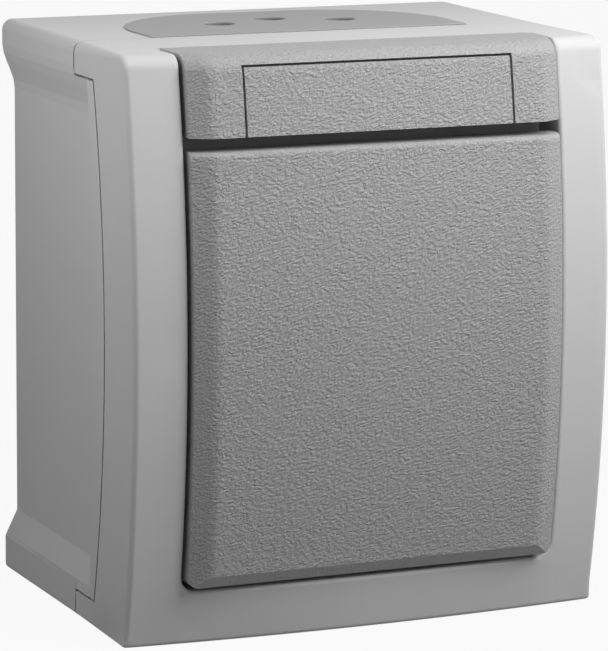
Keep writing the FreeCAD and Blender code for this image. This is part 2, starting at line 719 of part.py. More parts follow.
def build_key():
    """The key: bowed shell with bevels, pivot ribs with a rest stop, and a push rib."""
    solid = Solid("rocker")
    corner = "(keybottom + lowbevel)"
    points = [
        (bow("crownaxis", "crown - keyskirt", "keytop"), "keytop"),
        (crest("keytop"), "keytop"),
        (crest(corner), corner),
        (crest(corner) + " - beveldeep", "keybottom"),
        (bow("crownaxis", "crown - keyskirt", "keybottom"), "keybottom"),
    ]
    outline = solid.sketch("side").walk(points, {1: ("crown", True), 4: ("crown - keyskirt", False)})
    solid.pad(outline, "2 * keyhalf", both=True)
    bevel_sides(solid)
    turn = "(keybottom + keycorner)"
    side = "(keyhalf - keycorner)"
    corners = solid.sketch("front", "boxdeep + 2")
    right = [
        (side, "keybottom"),
        ("keyhalf", turn),
        ("keyhalf + 1", turn),
        ("keyhalf + 1", "keybottom - 1"),
        (side, "keybottom - 1"),
    ]
    left = [
        ("-keyhalf", turn),
        ("-" + side, "keybottom"),
        ("-" + side, "keybottom - 1"),
        ("-keyhalf - 1", "keybottom - 1"),
        ("-keyhalf - 1", turn),
    ]
    corners.walk(right, {0: ("keycorner", True)}).walk(left, {0: ("keycorner", True)})
    solid.pocket(corners, "boxdeep")

    def key_top(edge):
        box = edge.BoundBox
        front = crest("keytop") + " - beveldeep - 0.2"
        return box.ZLength < 0.01 and close(box.ZMax, "keytop") and box.YMax < -number(front)

    solid.round("keyround", key_top)
    upper = "(keytop - skirtwall)"
    lower = "(keybottom + skirtwall)"
    under = "(crown - keythick)"
    points = [
        ("floorfront", upper),
        (bow("crownaxis", under, upper), upper),
        (bow("crownaxis", under, lower), lower),
        ("floorfront", lower),
    ]
    hollow = solid.sketch("side").walk(points, {1: (under, True)})
    solid.pocket(hollow, "2 * (keyhalf - skirtwall)", both=True)
    rib = solid.sketch("side", "ribplace")
    start = "(pivothigh - 6)"
    points = [
        (bow("crownaxis", under, start) + " + 0.6", start),
        ("pivotdepth - 1.6", "pivothigh - 2.4"),
        ("floorfront + stopgap", "pivothigh + 1.4"),
        ("floorfront + stopgap", "keytop - skirtwall + 0.2"),
        (bow("crownaxis", under, upper) + " + 0.6", "keytop - skirtwall + 0.2"),
    ]
    rib.walk(points)
    rib.ring("pivotdepth", "pivothigh", "pinradius")
    solid.mirror(solid.pad(rib, "ribthick"))
    push = solid.sketch("front", "plungefront + pushgap")
    push.rect("-1.5", "1.5", "plungehigh - 1.5", "plungehigh + 1.5")
    solid.pad(push, bow("crownaxis", under, "plungehigh") + " + 0.6 - plungefront - pushgap")
    return solid


def build_diaphragm():
    """The rubber boot, gripping the window's rim and the plunger's neck."""
    solid = Solid("sealing_diaphragm")
    collar = "(neckradius + 0.05)"
    points = [
        (collar, "plungefront - 2.6"),
        (collar, "plungefront - 1.3"),
        ("neckradius + 1.4", "plungefront - 1.3"),
        ("neckradius + 2.1", "plungefront - 2.1"),
        ("windowradius - 1.4", "floorfront - 0.9"),
        ("windowradius - 0.8", "floorfront + 0.8"),
        ("windowradius + 1.4", "floorfront + 0.8"),
        ("windowradius + 1.4", "floorfront"),
        ("windowradius", "floorfront"),
        ("windowradius", "floorrear"),
        ("windowradius + 2", "floorrear"),
        ("windowradius + 2", "floorrear - 0.9"),
        ("windowradius - 1.4", "floorrear - 0.9"),
        ("windowradius - 1.8", "floorrear + 0.3"),
        ("neckradius + 1.6", "plungefront - 2.8"),
    ]
    solid.turn("Revolution", solid.sketch("top", "plungehigh").walk(points), "V_Axis", 360)
    return solid


def build_plunger():
    """The plunger: head, neck for the boot, stem, barrel against the rest stop, spigot."""
    solid = Solid("plunger")
    points = [
        ("0", "bridgeback - 3.5"),
        ("spigotradius", "bridgeback - 3.5"),
        ("spigotradius", "bridgefront"),
        ("barrelradius", "bridgefront"),
        ("barrelradius", "guideback - stopgap"),
        ("stemradius", "guideback - stopgap"),
        ("stemradius", "plungefront - 2.7"),
        ("neckradius", "plungefront - 2.7"),
        ("neckradius", "plungefront - 1.2"),
        ("headradius", "plungefront - 1.2"),
        ("headradius", "plungefront"),
        ("0", "plungefront"),
    ]
    solid.turn("Revolution", solid.sketch("top", "plungehigh").walk(points), "V_Axis", 360)
    return solid


def build_bridge():
    """The brass strip held between barrel and spring."""
    solid = Solid("contact_bridge")
    strip = solid.sketch("front", "bridgeback")
    strip.rect("-bridgewide / 2", "bridgewide / 2", "plungehigh - bridgetall / 2", "plungehigh + bridgetall / 2")
    strip.ring("0", "plungehigh", "spigotradius + pinslack")
    solid.pad(strip, "stripthick")
    return solid


def build_spring():
    """The coil spring between the contact base and the bridge."""
    solid = Solid("return_spring")
    wire = solid.sketch("top", "plungehigh")
    wire.ring("coilradius", "bridgeback - wireradius", "wireradius")
    coil = solid.grow("AdditiveHelix", wire)
    coil.ReferenceAxis = (wire.item, ["V_Axis"])
    coil.Mode = "height-turns-angle"
    coil.setExpression("Height", bound("bridgeback - platefront - 2 * wireradius"))
    coil.setExpression("Turns", bound("coilturns"))
    return solid


def build_housing():
    """The mechanism's shell, with a guide neck and slots for the strips."""
    solid = Solid("mechanism_housing")
    low = "(plungehigh - houselow)"
    high = "(plungehigh + househigh)"
    shell = solid.sketch("front", "platefront").rect("-housewide / 2", "housewide / 2", low, high)
    solid.pad(shell, "strapplace - platefront")
    hollow = solid.sketch("front", "platefront")
    side = "(housewide / 2 - housewall)"
    hollow.rect("-" + side, side, low + " + housewall", high + " - housewall")
    solid.pocket(hollow, "guideback - platefront", forward=True)
    neck = solid.sketch("front", "strapplace").ring("0", "plungehigh", "stemradius + 2.5")
    solid.pad(neck, "strapthick + 1")
    guide = solid.sketch("front", "strapfront + 2").ring("0", "plungehigh", "stemradius + stemslack")
    solid.pocket(guide, "housefront + strapthick + 2.5")
    seats = solid.sketch("front", "strapplace + 1")
    seats.ring("rivetplace", "plungehigh", "rivethole").ring("-rivetplace", "plungehigh", "rivethole")
    solid.pocket(seats, "housefront + 1.5")
    slots = solid.sketch("top", high + " + 1")
    near = "(contactplace - stripwide / 2 - 0.4)"
    far = "(contactplace + stripwide / 2 + 0.4)"
    slots.rect(near, far, "platefront - 1", "stripfront + 0.4")
    slots.rect("-" + far, "-" + near, "platefront - 1", "stripfront + 0.4")
    solid.pocket(slots, "housewall + 1.5")
    return solid


def build_contact_base():
    """The rear plate, with pedestals under the contacts and the terminals."""
    solid = Solid("contact_base")
    plate = solid.sketch("front", "baseplace")
    plate.rect("-housewide / 2", "housewide / 2", "plungehigh - houselow", "plungehigh + basehigh")
    solid.pad(plate, "basethick")
    stands = solid.sketch("front", "platefront")
    near = "(contactplace - stripwide / 2)"
    far = "(contactplace + stripwide / 2)"
    for first, last in ((near, far), ("-" + far, "-" + near)):
        stands.rect(first, last, "plungehigh - 3.5", "plungehigh + 3.5")
        stands.rect(first, last, "clamplow", "clamplow + clamptall")
    solid.pad(stands, "pedestal")
    return solid


def build_strap():
    """The steel plate over the housing's neck."""
    solid = Solid("mounting_strap")
    plate = solid.sketch("front", "strapplace")
    plate.rect("-strapwide / 2", "strapwide / 2", "plungehigh - straptall / 2", "plungehigh + straptall / 2")
    plate.ring("0", "plungehigh", "stemradius + 2.7")
    for place, radius in (("strapscrew", "screwhole"), ("rivetplace", "rivethole")):
        plate.ring(place, "plungehigh", radius).ring("-" + place, "plungehigh", radius)
    solid.pad(plate, "strapthick")
    solid.round("openround", lambda edge: along_depth(edge) and close(abs(edge.BoundBox.XMax), "strapwide / 2"))
    return solid


def round_bar(side, high, start, end, radius):
    """A cylinder along the depth, from one distance off the wall to another."""
    bar = doc.addObject("Part::Cylinder", "bar")
    bar.Placement = FreeCAD.Placement(FreeCAD.Vector(), FreeCAD.Rotation(FreeCAD.Vector(1, 0, 0), 90))
    bar.setExpression("Radius", bound(radius))
    bar.setExpression("Height", bound("(%s) - (%s)" % (end, start)))
    bar.setExpression("Placement.Base.x", bound(side))
    bar.setExpression("Placement.Base.y", bound("-(%s)" % start))
    bar.setExpression("Placement.Base.z", bound(high))
    return bar


def block(left, right, start, end, low, high):
    """A box between two sides, two depths and two heights."""
    box = doc.addObject("Part::Box", "block")
    box.setExpression("Length", bound("(%s) - (%s)" % (right, left)))
    box.setExpression("Width", bound("(%s) - (%s)" % (end, start)))
    box.setExpression("Height", bound("(%s) - (%s)" % (high, low)))
    box.setExpression("Placement.Base.x", bound(left))
    box.setExpression("Placement.Base.y", bound("-(%s)" % end))
    box.setExpression("Placement.Base.z", bound(low))
    return box


def joined(*shapes):
    """Several shapes as one solid."""
    made = doc.addObject("Part::MultiFuse", "joined")
    made.Shapes = list(shapes)
    made.Refine = True
    return made


def less(shape, tool):
    """One shape with another taken away."""
    made = doc.addObject("Part::Cut", "less")
    made.Base = shape
    made.Tool = tool
    return made


def group(label, *shapes):
    """Like pieces in one node."""
    made = doc.addObject("Part::Compound", label)
    made.Label = label
    made.Links = list(shapes)
    return made


def screw(side, high, seat, tip, head, shank):
    """A pan head screw with a cross drive, seated at one depth and ending at another."""
    top = "(%s + headthick)" % seat
    cap = round_bar(side, high, seat, top, head)
    body = round_bar(side, high, tip, seat, shank)
    solid = joined(cap, body)
    long = "(%s * 0.62)" % head
    thin = "(driveslot / 2)"
    depth = "(%s - headthick * 0.55)" % top
    for across, tall in ((long, thin), (thin, long)):
        left = "(%s) - %s" % (side, across)
        right = "(%s) + %s" % (side, across)
        low = "(%s) - %s" % (high, tall)
        over = "(%s) + %s" % (high, tall)
        solid = less(solid, block(left, right, depth, top + " + 1", low, over))
    return solid


def pair(make):
    """The same piece on both sides of the middle."""
    return [make(""), make("-")]


def build_fasteners():
    """Pins, screws, seals and rivets, each kind in one node."""
    pins = []
    for sign in ("", "-"):
        pin = doc.addObject("Part::Cylinder", "pin")
        pin.Placement = FreeCAD.Placement(FreeCAD.Vector(), FreeCAD.Rotation(FreeCAD.Vector(0, 1, 0), 90))
        pin.setExpression("Radius", bound("pinradius"))
        pin.setExpression("Height", bound("ribplace + ribthick - lugplace"))
        first = "lugplace" if sign == "" else "-(ribplace + ribthick)"
        pin.setExpression("Placement.Base.x", bound(first))
        pin.setExpression("Placement.Base.y", bound("-pivotdepth"))
        pin.setExpression("Placement.Base.z", bound("pivothigh"))
        pins.append(pin)
    screws = []
    seals = []
    for side in ("screwside", "-screwside"):
        for high in ("screwhigh", "-screwlow"):
            seat = "(floorfront + sealthick)"
            tip = "(floorrear - screwdeep + 0.5)"
            screws.append(screw(side, high, seat, tip, "screwhead", "screwradius"))
            disc = round_bar(side, high, "floorfront", seat, "screwhead - 0.1")
            hole = round_bar(side, high, "floorfront - 1", seat + " + 1", "screwradius + screwslack")
            seals.append(less(disc, hole))
    strap = pair(
        lambda sign: screw(
            sign + "strapscrew", "plungehigh", "strapfront", "(strapplace - screwdeep + 0.5)", "screwhead", "screwradius"
        )
    )
    rivets = pair(
        lambda sign: joined(
            round_bar(sign + "rivetplace", "plungehigh", "strapfront", "strapfront + 0.7", "rivetradius + 0.2"),
            round_bar(sign + "rivetplace", "plungehigh", "guideback", "strapfront", "rivetradius - 0.6"),
            round_bar(sign + "rivetplace", "plungehigh", "guideback - 0.7", "guideback", "rivetradius + 0.2"),
        )
    )
    return [
        group("pivot_pins", *pins),
        group("cover_screws", *screws),
        group("screw_seals", *seals),
        group("strap_screws", *strap),
        group("strap_rivets", *rivets),
    ]


def build_contacts():
    """Contact rivets, brass strips, terminal clamps and their screws."""
    near = "(contactplace - stripwide / 2)"
    far = "(contactplace + stripwide / 2)"
    top = "(clamplow + clamptall)"
    sides = ((near, far), ("-" + far, "-" + near))
    strips = [block(first, last, "stripback", "stripfront", "plungehigh - 3.5", top) for first, last in sides]
    fixed = pair(lambda sign: round_bar(sign + "contactplace", "plungehigh", "stripfront", "fixedface", "rivetradius"))
    moving = pair(lambda sign: round_bar(sign + "contactplace", "plungehigh", "movingface", "bridgeback", "rivetradius"))
    clamps = pair(clamp)
    middle = "(clamplow + clamptall / 2)"
    screws = pair(
        lambda sign: screw(
            sign + "contactplace", middle, "clampfront", "(clampback + clampdeep / 2)", "screwhead - 0.3", "screwradius"
        )
    )
    return [
        group("fixed_contacts", *strips),
        group("contact_rivets", *fixed),
        group("bridge_rivets", *moving),
        group("terminal_clamps", *clamps),
        group("terminal_screws", *screws),
    ]


def clamp(sign):
    """A brass clamp block with a wire hole from above and a screw hole from the front."""
    half = "(clampwide / 2)"
    centre = "(%scontactplace)" % sign
    top = "(clamplow + clamptall)"
    body = block(centre + " - " + half, centre + " + " + half, "clampback", "clampfront", "clamplow", top)
    wire = doc.addObject("Part::Cylinder", "wire_hole")
    wire.setExpression("Radius", bound("conductor"))
    wire.setExpression("Height", bound("clamptall + 2"))
    wire.setExpression("Placement.Base.x", bound(centre))
    wire.setExpression("Placement.Base.y", bound("-(clampback + clampdeep * 0.4)"))
    wire.setExpression("Placement.Base.z", bound("clamplow - 1"))
    middle = "(clamplow + clamptall / 2)"
    hole = round_bar(centre, middle, "clampback + clampdeep * 0.4", "clampfront + 1", "screwradius + screwslack")
    return less(less(body, wire), hole)


def check():
    """Stop if any object failed or any shape is empty or not valid."""
    doc.recompute()
    for item in doc.Objects:
        if "Invalid" in item.State or "Error" in item.State:
            raise RuntimeError("%s failed" % item.Label)


def export(nodes):
    """Write each node to its own file."""
    os.makedirs("parts", exist_ok=True)
    for node in nodes:
        if node.Shape.isNull() or not node.Shape.isValid() or not node.Shape.Solids:
            raise RuntimeError("%s has no valid solid" % node.Label)
        node.Shape.exportStep("parts/%s.step" % node.Label)


BUILDERS = [
    build_base,
    build_frame,
    build_gasket,
    build_header,
    build_label,
    build_membrane,
    build_key,
    build_diaphragm,
    build_plunger,
    build_bridge,
    build_spring,
    build_housing,
    build_contact_base,
    build_strap,
]

made = [make().body for make in BUILDERS]
made += build_fasteners()
made += build_contacts()
check()
export(made)
for node in made:
    box = node.Shape.BoundBox
    size = "%.2f x %.2f x %.2f" % (box.XLength, box.YLength, box.ZLength)
    print("%s: %d solids, %.0f mm3, %s" % (node.Label, len(node.Shape.Solids), node.Shape.Volume, size))
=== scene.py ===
"""Looks of the outdoor weatherproof switch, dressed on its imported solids."""

from __future__ import annotations

import json
import logging
import math
from dataclasses import dataclass
from enum import Enum
from typing import Any, Callable, Union

import bmesh
import bpy
import numpy as np
from mathutils import Matrix, Vector

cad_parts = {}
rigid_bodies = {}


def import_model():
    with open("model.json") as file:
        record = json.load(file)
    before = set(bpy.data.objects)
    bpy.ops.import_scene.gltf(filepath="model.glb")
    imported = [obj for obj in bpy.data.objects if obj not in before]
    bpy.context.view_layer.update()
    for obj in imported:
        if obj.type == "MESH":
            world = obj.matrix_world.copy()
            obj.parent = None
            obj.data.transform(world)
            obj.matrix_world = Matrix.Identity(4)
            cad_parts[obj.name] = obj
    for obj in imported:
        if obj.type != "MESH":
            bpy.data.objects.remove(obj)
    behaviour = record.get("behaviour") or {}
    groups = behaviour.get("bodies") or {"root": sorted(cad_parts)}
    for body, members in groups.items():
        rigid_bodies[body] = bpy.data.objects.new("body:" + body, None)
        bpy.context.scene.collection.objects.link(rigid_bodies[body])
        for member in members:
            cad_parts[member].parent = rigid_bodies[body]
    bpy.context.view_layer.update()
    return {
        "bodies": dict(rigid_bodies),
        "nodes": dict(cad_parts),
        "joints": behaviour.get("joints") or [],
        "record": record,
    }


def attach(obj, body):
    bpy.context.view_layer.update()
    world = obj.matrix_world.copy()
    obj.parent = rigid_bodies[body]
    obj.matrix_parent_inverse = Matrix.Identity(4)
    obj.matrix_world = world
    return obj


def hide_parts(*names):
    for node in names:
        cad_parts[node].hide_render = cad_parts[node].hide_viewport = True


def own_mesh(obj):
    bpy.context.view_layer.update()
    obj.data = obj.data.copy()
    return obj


LOG = logging.getLogger("weatherproof_switch")
MM = 0.001
IMAGE_HEIGHT = 651
SENSOR = 36.0
MIX_FIRST = 6
MIX_SECOND = 7
MIX_RESULT = 2
DOUBLES = 1e-7
MERGE_PLACES = 4
TURN_EASE = 1.01
TINY = 1e-12
SHOWN_RAYS = ("Is Camera Ray", "Is Glossy Ray", "Is Transmission Ray")
Number = Union["Wire", float]
Colour = tuple[float, float, float, float]


def grey(level: float) -> Colour:
    """A neutral colour of that linear level."""
    return (level, level, level, 1.0)


class Slot(Enum):
    """The record's material slots."""

    SHELL = "light_grey_plastic"
    FACE = "dark_grey_plastic"
    ENTRY = "grey_rubber"
    SEAL = "black_rubber"
    INNER = "white_plastic"
    STEEL = "steel"
    BRASS = "brass"
    CONTACT = "silver_alloy"


class Wire:
    """An output socket with Python's operators; each one adds a Math node."""

    def __init__(self, bench: Bench, socket: bpy.types.NodeSocket) -> None:
        """Keep the socket and the bench that it lies on."""
        self.bench = bench
        self.socket = socket

    def __add__(self, other: Number) -> Wire:
        """This value plus another."""
        return self.bench.sum("ADD", self, other)

    def __radd__(self, other: Number) -> Wire:
        """Another value plus this."""
        return self.bench.sum("ADD", other, self)

    def __sub__(self, other: Number) -> Wire:
        """This value less another."""
        return self.bench.sum("SUBTRACT", self, other)

    def __rsub__(self, other: Number) -> Wire:
        """Another value less this."""
        return self.bench.sum("SUBTRACT", other, self)

    def __mul__(self, other: Number) -> Wire:
        """This value times another."""
        return self.bench.sum("MULTIPLY", self, other)

    def __rmul__(self, other: Number) -> Wire:
        """Another value times this."""
        return self.bench.sum("MULTIPLY", other, self)

    def __abs__(self) -> Wire:
        """The size of this value."""
        return self.bench.sum("ABSOLUTE", self, 0.0)


class Bench:
    """The node tree of a material or a world, with a method for any node."""

    def __init__(self, owner: bpy.types.Material | bpy.types.World) -> None:
        """Start an empty tree in a new material or world."""
        owner.use_nodes = True
        self.owner = owner
        self.tree = owner.node_tree
        self.tree.nodes.clear()

    def node(
        self,
        kind: str,
        settings: dict[str, Any] | None = None,
        inputs: dict[str | int, Any] | None = None,
    ) -> bpy.types.Node:
        """Add any node.

        Args:
            kind: the node's type, without its ShaderNode prefix.
            settings: the node's own properties, set first.
            inputs: values or wires for its sockets, by name or place.

        Returns:
            The new node.
        """
        made = self.tree.nodes.new("ShaderNode" + kind)
        for name, value in (settings or {}).items():
            setattr(made, name, value)
        for key, value in (inputs or {}).items():
            if isinstance(value, Wire):
                self.tree.links.new(value.socket, made.inputs[key])
            else:
                made.inputs[key].default_value = value
        return made

    def wire(
        self,
        kind: str,
        settings: dict[str, Any] | None = None,
        inputs: dict[str | int, Any] | None = None,
        out: str | int = 0,
    ) -> Wire:
        """Add any node and take one of its outputs.

        Args:
            kind: the node's type, without its ShaderNode prefix.
            settings: the node's own properties.
            inputs: values or wires for its sockets.
            out: the output's name or place.

        Returns:
            The output as a wire.
        """
        return Wire(self, self.node(kind, settings, inputs).outputs[out])

    def sum(self, operation: str, first: Number, second: Number) -> Wire:
        """One Math node on two values."""
        return self.wire("Math", {"operation": operation}, {0: first, 1: second})

    def place(self, scale: tuple[float, float, float], turn: tuple[float, float, float] = (0, 0, 0)) -> Wire:
        """Object coordinates, scaled and turned.

        Args:
            scale: how many pattern units fit in a metre along each axis.
            turn: the pattern's turn in degrees about each axis.

        Returns:
            A vector wire.
        """
        start = self.wire("TexCoord", out="Object")
        angles = tuple(math.radians(angle) for angle in turn)
        turned = self.wire("Mapping", None, {"Vector": start, "Rotation": angles})
        return self.wire("VectorMath", {"operation": "MULTIPLY"}, {0: turned, 1: scale})

    def noise(self, vector: Wire, scale: float, detail: float = 2.0, roughness: float = 0.5) -> Wire:
        """Soft noise from 0 to 1 about 0.5, at a scale of the given vector."""
        inputs = {"Vector": vector, "Scale": scale, "Detail": detail, "Roughness": roughness}
        return self.wire("TexNoise", {"normalize": True}, inputs, "Fac")

    def band(self, value: Wire, low: float, high: float) -> Wire:
        """A smooth step from 0 at low to 1 at high."""
        inputs = {"Value": value, "From Min": low, "From Max": high}
        return self.wire("MapRange", {"interpolation_type": "SMOOTHSTEP"}, inputs, "Result")

    def tint(self, factor: Wire, first: Colour | Wire, second: Colour | Wire) -> Wire:
        """A colour between two, by a factor."""
        inputs = {"Factor": factor, MIX_FIRST: first, MIX_SECOND: second}
        return self.wire("Mix", {"data_type": "RGBA", "blend_type": "MIX"}, inputs, MIX_RESULT)

    def relief(self, height: Wire, depth: float, strength: float = 1.0) -> Wire:
        """A bumped normal from a height of 0 to 1 that stands for a depth in metres."""
        return self.wire("Bump", None, {"Height": height, "Strength": strength, "Distance": depth})

    def finish(self, constants: dict[str, Any], varying: dict[str, Wire]) -> bpy.types.Material:
        """Close the tree with a Principled shader.

        Args:
            constants: values that are the same all over.
            varying: wires for what changes over the surface.

        Returns:
            The finished material.
        """
        shader = self.wire("BsdfPrincipled", None, {**constants, **varying})
        self.node("OutputMaterial", None, {"Surface": shader})
        return self.owner


@dataclass(frozen=True)
class SatinMoulding:
    """Smooth satin plastic, with a faint spark-eroded texture and soft mottling."""

    name: str
    tone: float
    roughness: float = 0.58
    mottle: float = 0.05
    speck: float = 0.00022
    tooth: float = 0.0000035
    cloud_scale: float = 45.0
    sheen_scale: float = 260.0
    index: float = 1.38

    def material(self) -> bpy.types.Material:
        """The finish as a material."""
        bench = Bench(bpy.data.materials.new(self.name))
        place = bench.place((1.0, 1.0, 1.0))
        cloud = bench.noise(place, self.cloud_scale, 3.0)
        fine = bench.noise(place, 1.0 / self.speck, 1.0)
        sheen = bench.noise(place, self.sheen_scale, 2.0)
        dark, pale = grey(self.tone * (1 - self.mottle)), grey(self.tone * (1 + self.mottle))
        colour = bench.tint(cloud * 0.8 + fine * 0.2, dark, pale)
        rough = self.roughness - 0.05 + 0.1 * (sheen * 0.6 + fine * 0.4)
        normal = bench.relief(fine, self.tooth)
        return bench.finish({"IOR": self.index}, {"Base Color": colour, "Roughness": rough, "Normal": normal})


@dataclass(frozen=True)
class GrainedMoulding:
    """Plastic with a fine leather grain: soft pebbles drawn out sideways, parted by creases."""

    name: str
    tone: float
    roughness: float = 0.5
    long: float = 0.0006
    short: float = 0.00031
    slant: float = 27.0
    depth: float = 0.00016
    wander: float = 1.5
    side_depth: float = 0.65
    index: float = 1.46

    def material(self) -> bpy.types.Material:
        """The finish as a material, with a shallower grain on faces that turn from the front."""
        bench = Bench(bpy.data.materials.new(self.name))
        scale = (1 / self.long, 1 / self.short, 1 / self.short)
        place = bench.place(scale, (0, self.slant, 0))
        drift = bench.wire("TexNoise", None, {"Vector": place, "Scale": 0.7, "Detail": 2.0}, "Color")
        offset = bench.wire("VectorMath", {"operation": "SUBTRACT"}, {0: drift, 1: (0.5, 0.5, 0.5)})
        stretched = bench.wire("VectorMath", {"operation": "SCALE"}, {0: offset, "Scale": self.wander})
        warped = bench.wire("VectorMath", {"operation": "ADD"}, {0: place, 1: stretched})
        settings = {"feature": "SMOOTH_F1", "distance": "EUCLIDEAN"}
        inputs = {"Vector": warped, "Scale": 1.0, "Smoothness": 0.35, "Randomness": 1.0}
        pebble = 1.0 - bench.band(bench.wire("TexVoronoi", settings, inputs, "Distance"), 0.1, 0.75)
        worm = bench.noise(warped, 1.3, 1.0)
        fine = bench.noise(place, 4.2, 1.0)
        height = pebble * 0.5 + bench.band(worm, 0.3, 0.7) * 0.4 + fine * 0.1
        facing = bench.wire("SeparateXYZ", None, {0: bench.wire("NewGeometry", out="Normal")}, "Y")
        calm = self.side_depth + (1 - self.side_depth) * bench.band(abs(facing), 0.78, 0.95)
        colour = bench.tint(height, grey(self.tone * 0.93), grey(self.tone * 1.05))
        rough = self.roughness + 0.1 * (1.0 - height)
        normal = bench.relief(height * calm, self.depth)
        return bench.finish({"IOR": self.index}, {"Base Color": colour, "Roughness": rough, "Normal": normal})


@dataclass(frozen=True)
class SoftRubber:
    """Matte rubber with a dusty bloom, and painted shade: darker in hollows and on edges below a height that
    is stated.
    """

    name: str
    tone: float
    bloom: float
    roughness: float = 0.62
    painted_shade_below: float = -1.0
    painted_shade_fade: float = 0.0002
    painted_shade_share: float = 0.4
    cloud_scale: float = 120.0
    fine_scale: float = 3600.0
    tooth: float = 0.000008
    index: float = 1.5

    def material(self) -> bpy.types.Material:
        """The finish as a material."""
        bench = Bench(bpy.data.materials.new(self.name))
        place = bench.place((1.0, 1.0, 1.0))
        cloud = bench.noise(place, self.cloud_scale, 3.0)
        fine = bench.noise(place, self.fine_scale, 1.0)
        height = bench.wire("SeparateXYZ", None, {0: place}, "Z")
        # Painted shade: below the stated height the colour goes dark, in the dimples and down the plate's
        # edge.
        clear_of_painted_shade = bench.band(height, self.painted_shade_below - self.painted_shade_fade, self.painted_shade_below)
        pale = bench.tint(cloud * 0.7 + fine * 0.3, grey(self.tone), grey(self.bloom))
        colour = bench.tint(clear_of_painted_shade, grey(self.tone * self.painted_shade_share), pale)
        rough = self.roughness - 0.06 + 0.12 * cloud
        normal = bench.relief(fine * 0.5 + cloud * 0.5, self.tooth)
        return bench.finish({"IOR": self.index}, {"Base Color": colour, "Roughness": rough, "Normal": normal})


@dataclass(frozen=True)
class WorkedMetal:
    """Stamped or turned metal: fine drawn lines and patches of tarnish."""

    name: str
    bright: Colour
    dull: Colour
    roughness: float = 0.3
    line_scale: tuple[float, float, float] = (300.0, 2600.0, 9000.0)
    patch_scale: float = 420.0
    tooth: float = 0.000004

    def material(self) -> bpy.types.Material:
        """The finish as a material."""
        bench = Bench(bpy.data.materials.new(self.name))
        lines = bench.noise(bench.place(self.line_scale), 1.0, 2.0)
        patch = bench.noise(bench.place((1.0, 1.0, 1.0)), self.patch_scale, 3.0)
        colour = bench.tint(bench.band(patch, 0.35, 0.75), self.bright, self.dull)
        rough = self.roughness - 0.08 + 0.16 * lines + 0.1 * patch
        normal = bench.relief(lines, self.tooth)
        return bench.finish({"Metallic": 1.0}, {"Base Color": colour, "Roughness": rough, "Normal": normal})


FINISHES: dict[Slot, SatinMoulding | GrainedMoulding | SoftRubber | WorkedMetal] = {
    Slot.SHELL: SatinMoulding("light_grey_satin", 0.62),
    Slot.FACE: GrainedMoulding("dark_grey_grain", 0.375),
    # The entry plate goes darker just under its top: painted shade in its dimples and on its edge.
    Slot.ENTRY: SoftRubber("grey_entry_rubber", 0.31, 0.35, painted_shade_below=37.62 * MM),
    Slot.SEAL: SoftRubber("black_seal_rubber", 0.022, 0.036, 0.66),
    Slot.INNER: SatinMoulding("white_inner_moulding", 0.78, 0.42, 0.03),
    Slot.STEEL: WorkedMetal("zinc_plated_steel", (0.66, 0.67, 0.68, 1), (0.52, 0.53, 0.55, 1), 0.32),
    Slot.BRASS: WorkedMetal("stamped_brass", (0.78, 0.58, 0.28, 1), (0.6, 0.42, 0.2, 1), 0.3),
    Slot.CONTACT: WorkedMetal("silver_contact", (0.86, 0.85, 0.83, 1), (0.7, 0.69, 0.67, 1), 0.26),
}


class Paintbox:
    """Makes each finish's material once and puts it on pieces."""

    def __init__(self) -> None:
        """Start with no material made."""
        self.made: dict[Slot, bpy.types.Material] = {}

    def coat(self, piece: bpy.types.Object, slot: Slot) -> None:
        """Give a piece the material of a slot, in place of what it had.

        Args:
            piece: a CAD node or a new piece.
            slot: the record's slot.
        """
        if slot not in self.made:
            self.made[slot] = FINISHES[slot].material()
        piece.data.materials.clear()
        piece.data.materials.append(self.made[slot])
        LOG.info("%s: %s", piece.name, slot.value)


def sheet_mesh(name: str, points: np.ndarray, closed_rows: bool, closed_columns: bool) -> bpy.types.Object:
    """A surface over a grid of points, with neighbours joined by four-sided faces.

    Args:
        name: the piece's name.
        points: rows by columns by three, in metres.
        closed_rows: join the last row to the first.
        closed_columns: join the last column to the first.

    Returns:
        A smooth-shaded mesh object at the origin, its doubles merged and normals outward.
    """
    rows, columns = points.shape[:2]
    row = np.arange(rows if closed_rows else rows - 1)
    column = np.arange(columns if closed_columns else columns - 1)
    first, second = (part.ravel() for part in np.meshgrid(row, column, indexing="ij"))
    below = (first + 1) % rows
    beside = (second + 1) % columns
    here, under = first * columns, below * columns
    faces = np.stack((here + second, under + second, under + beside, here + beside), axis=1)
    mesh = bpy.data.meshes.new(name)
    mesh.from_pydata(points.reshape(-1, 3).tolist(), [], faces.tolist())
    work = bmesh.new()
    work.from_mesh(mesh)
    bmesh.ops.remove_doubles(work, verts=work.verts, dist=DOUBLES)
    bmesh.ops.recalc_face_normals(work, faces=work.faces)
    work.to_mesh(mesh)
    work.free()
    mesh.shade_smooth()
    piece = bpy.data.objects.new(name, mesh)
    bpy.context.scene.collection.objects.link(piece)
    return piece


def soften(profile: np.ndarray, rounds: int) -> np.ndarray:
    """Round a closed outline by cutting each corner at a quarter of its sides, a few times.

    Args:
        profile: points by two.
        rounds: how many times the corners are cut.

    Returns:
        The rounded outline, twice as many points each time.
    """
    for _ in range(rounds):
        after = np.roll(profile, -1, axis=0)
        cut = np.stack((0.75 * profile + 0.25 * after, 0.25 * profile + 0.75 * after), axis=1)
        profile = cut.reshape(-1, 2)
    return profile


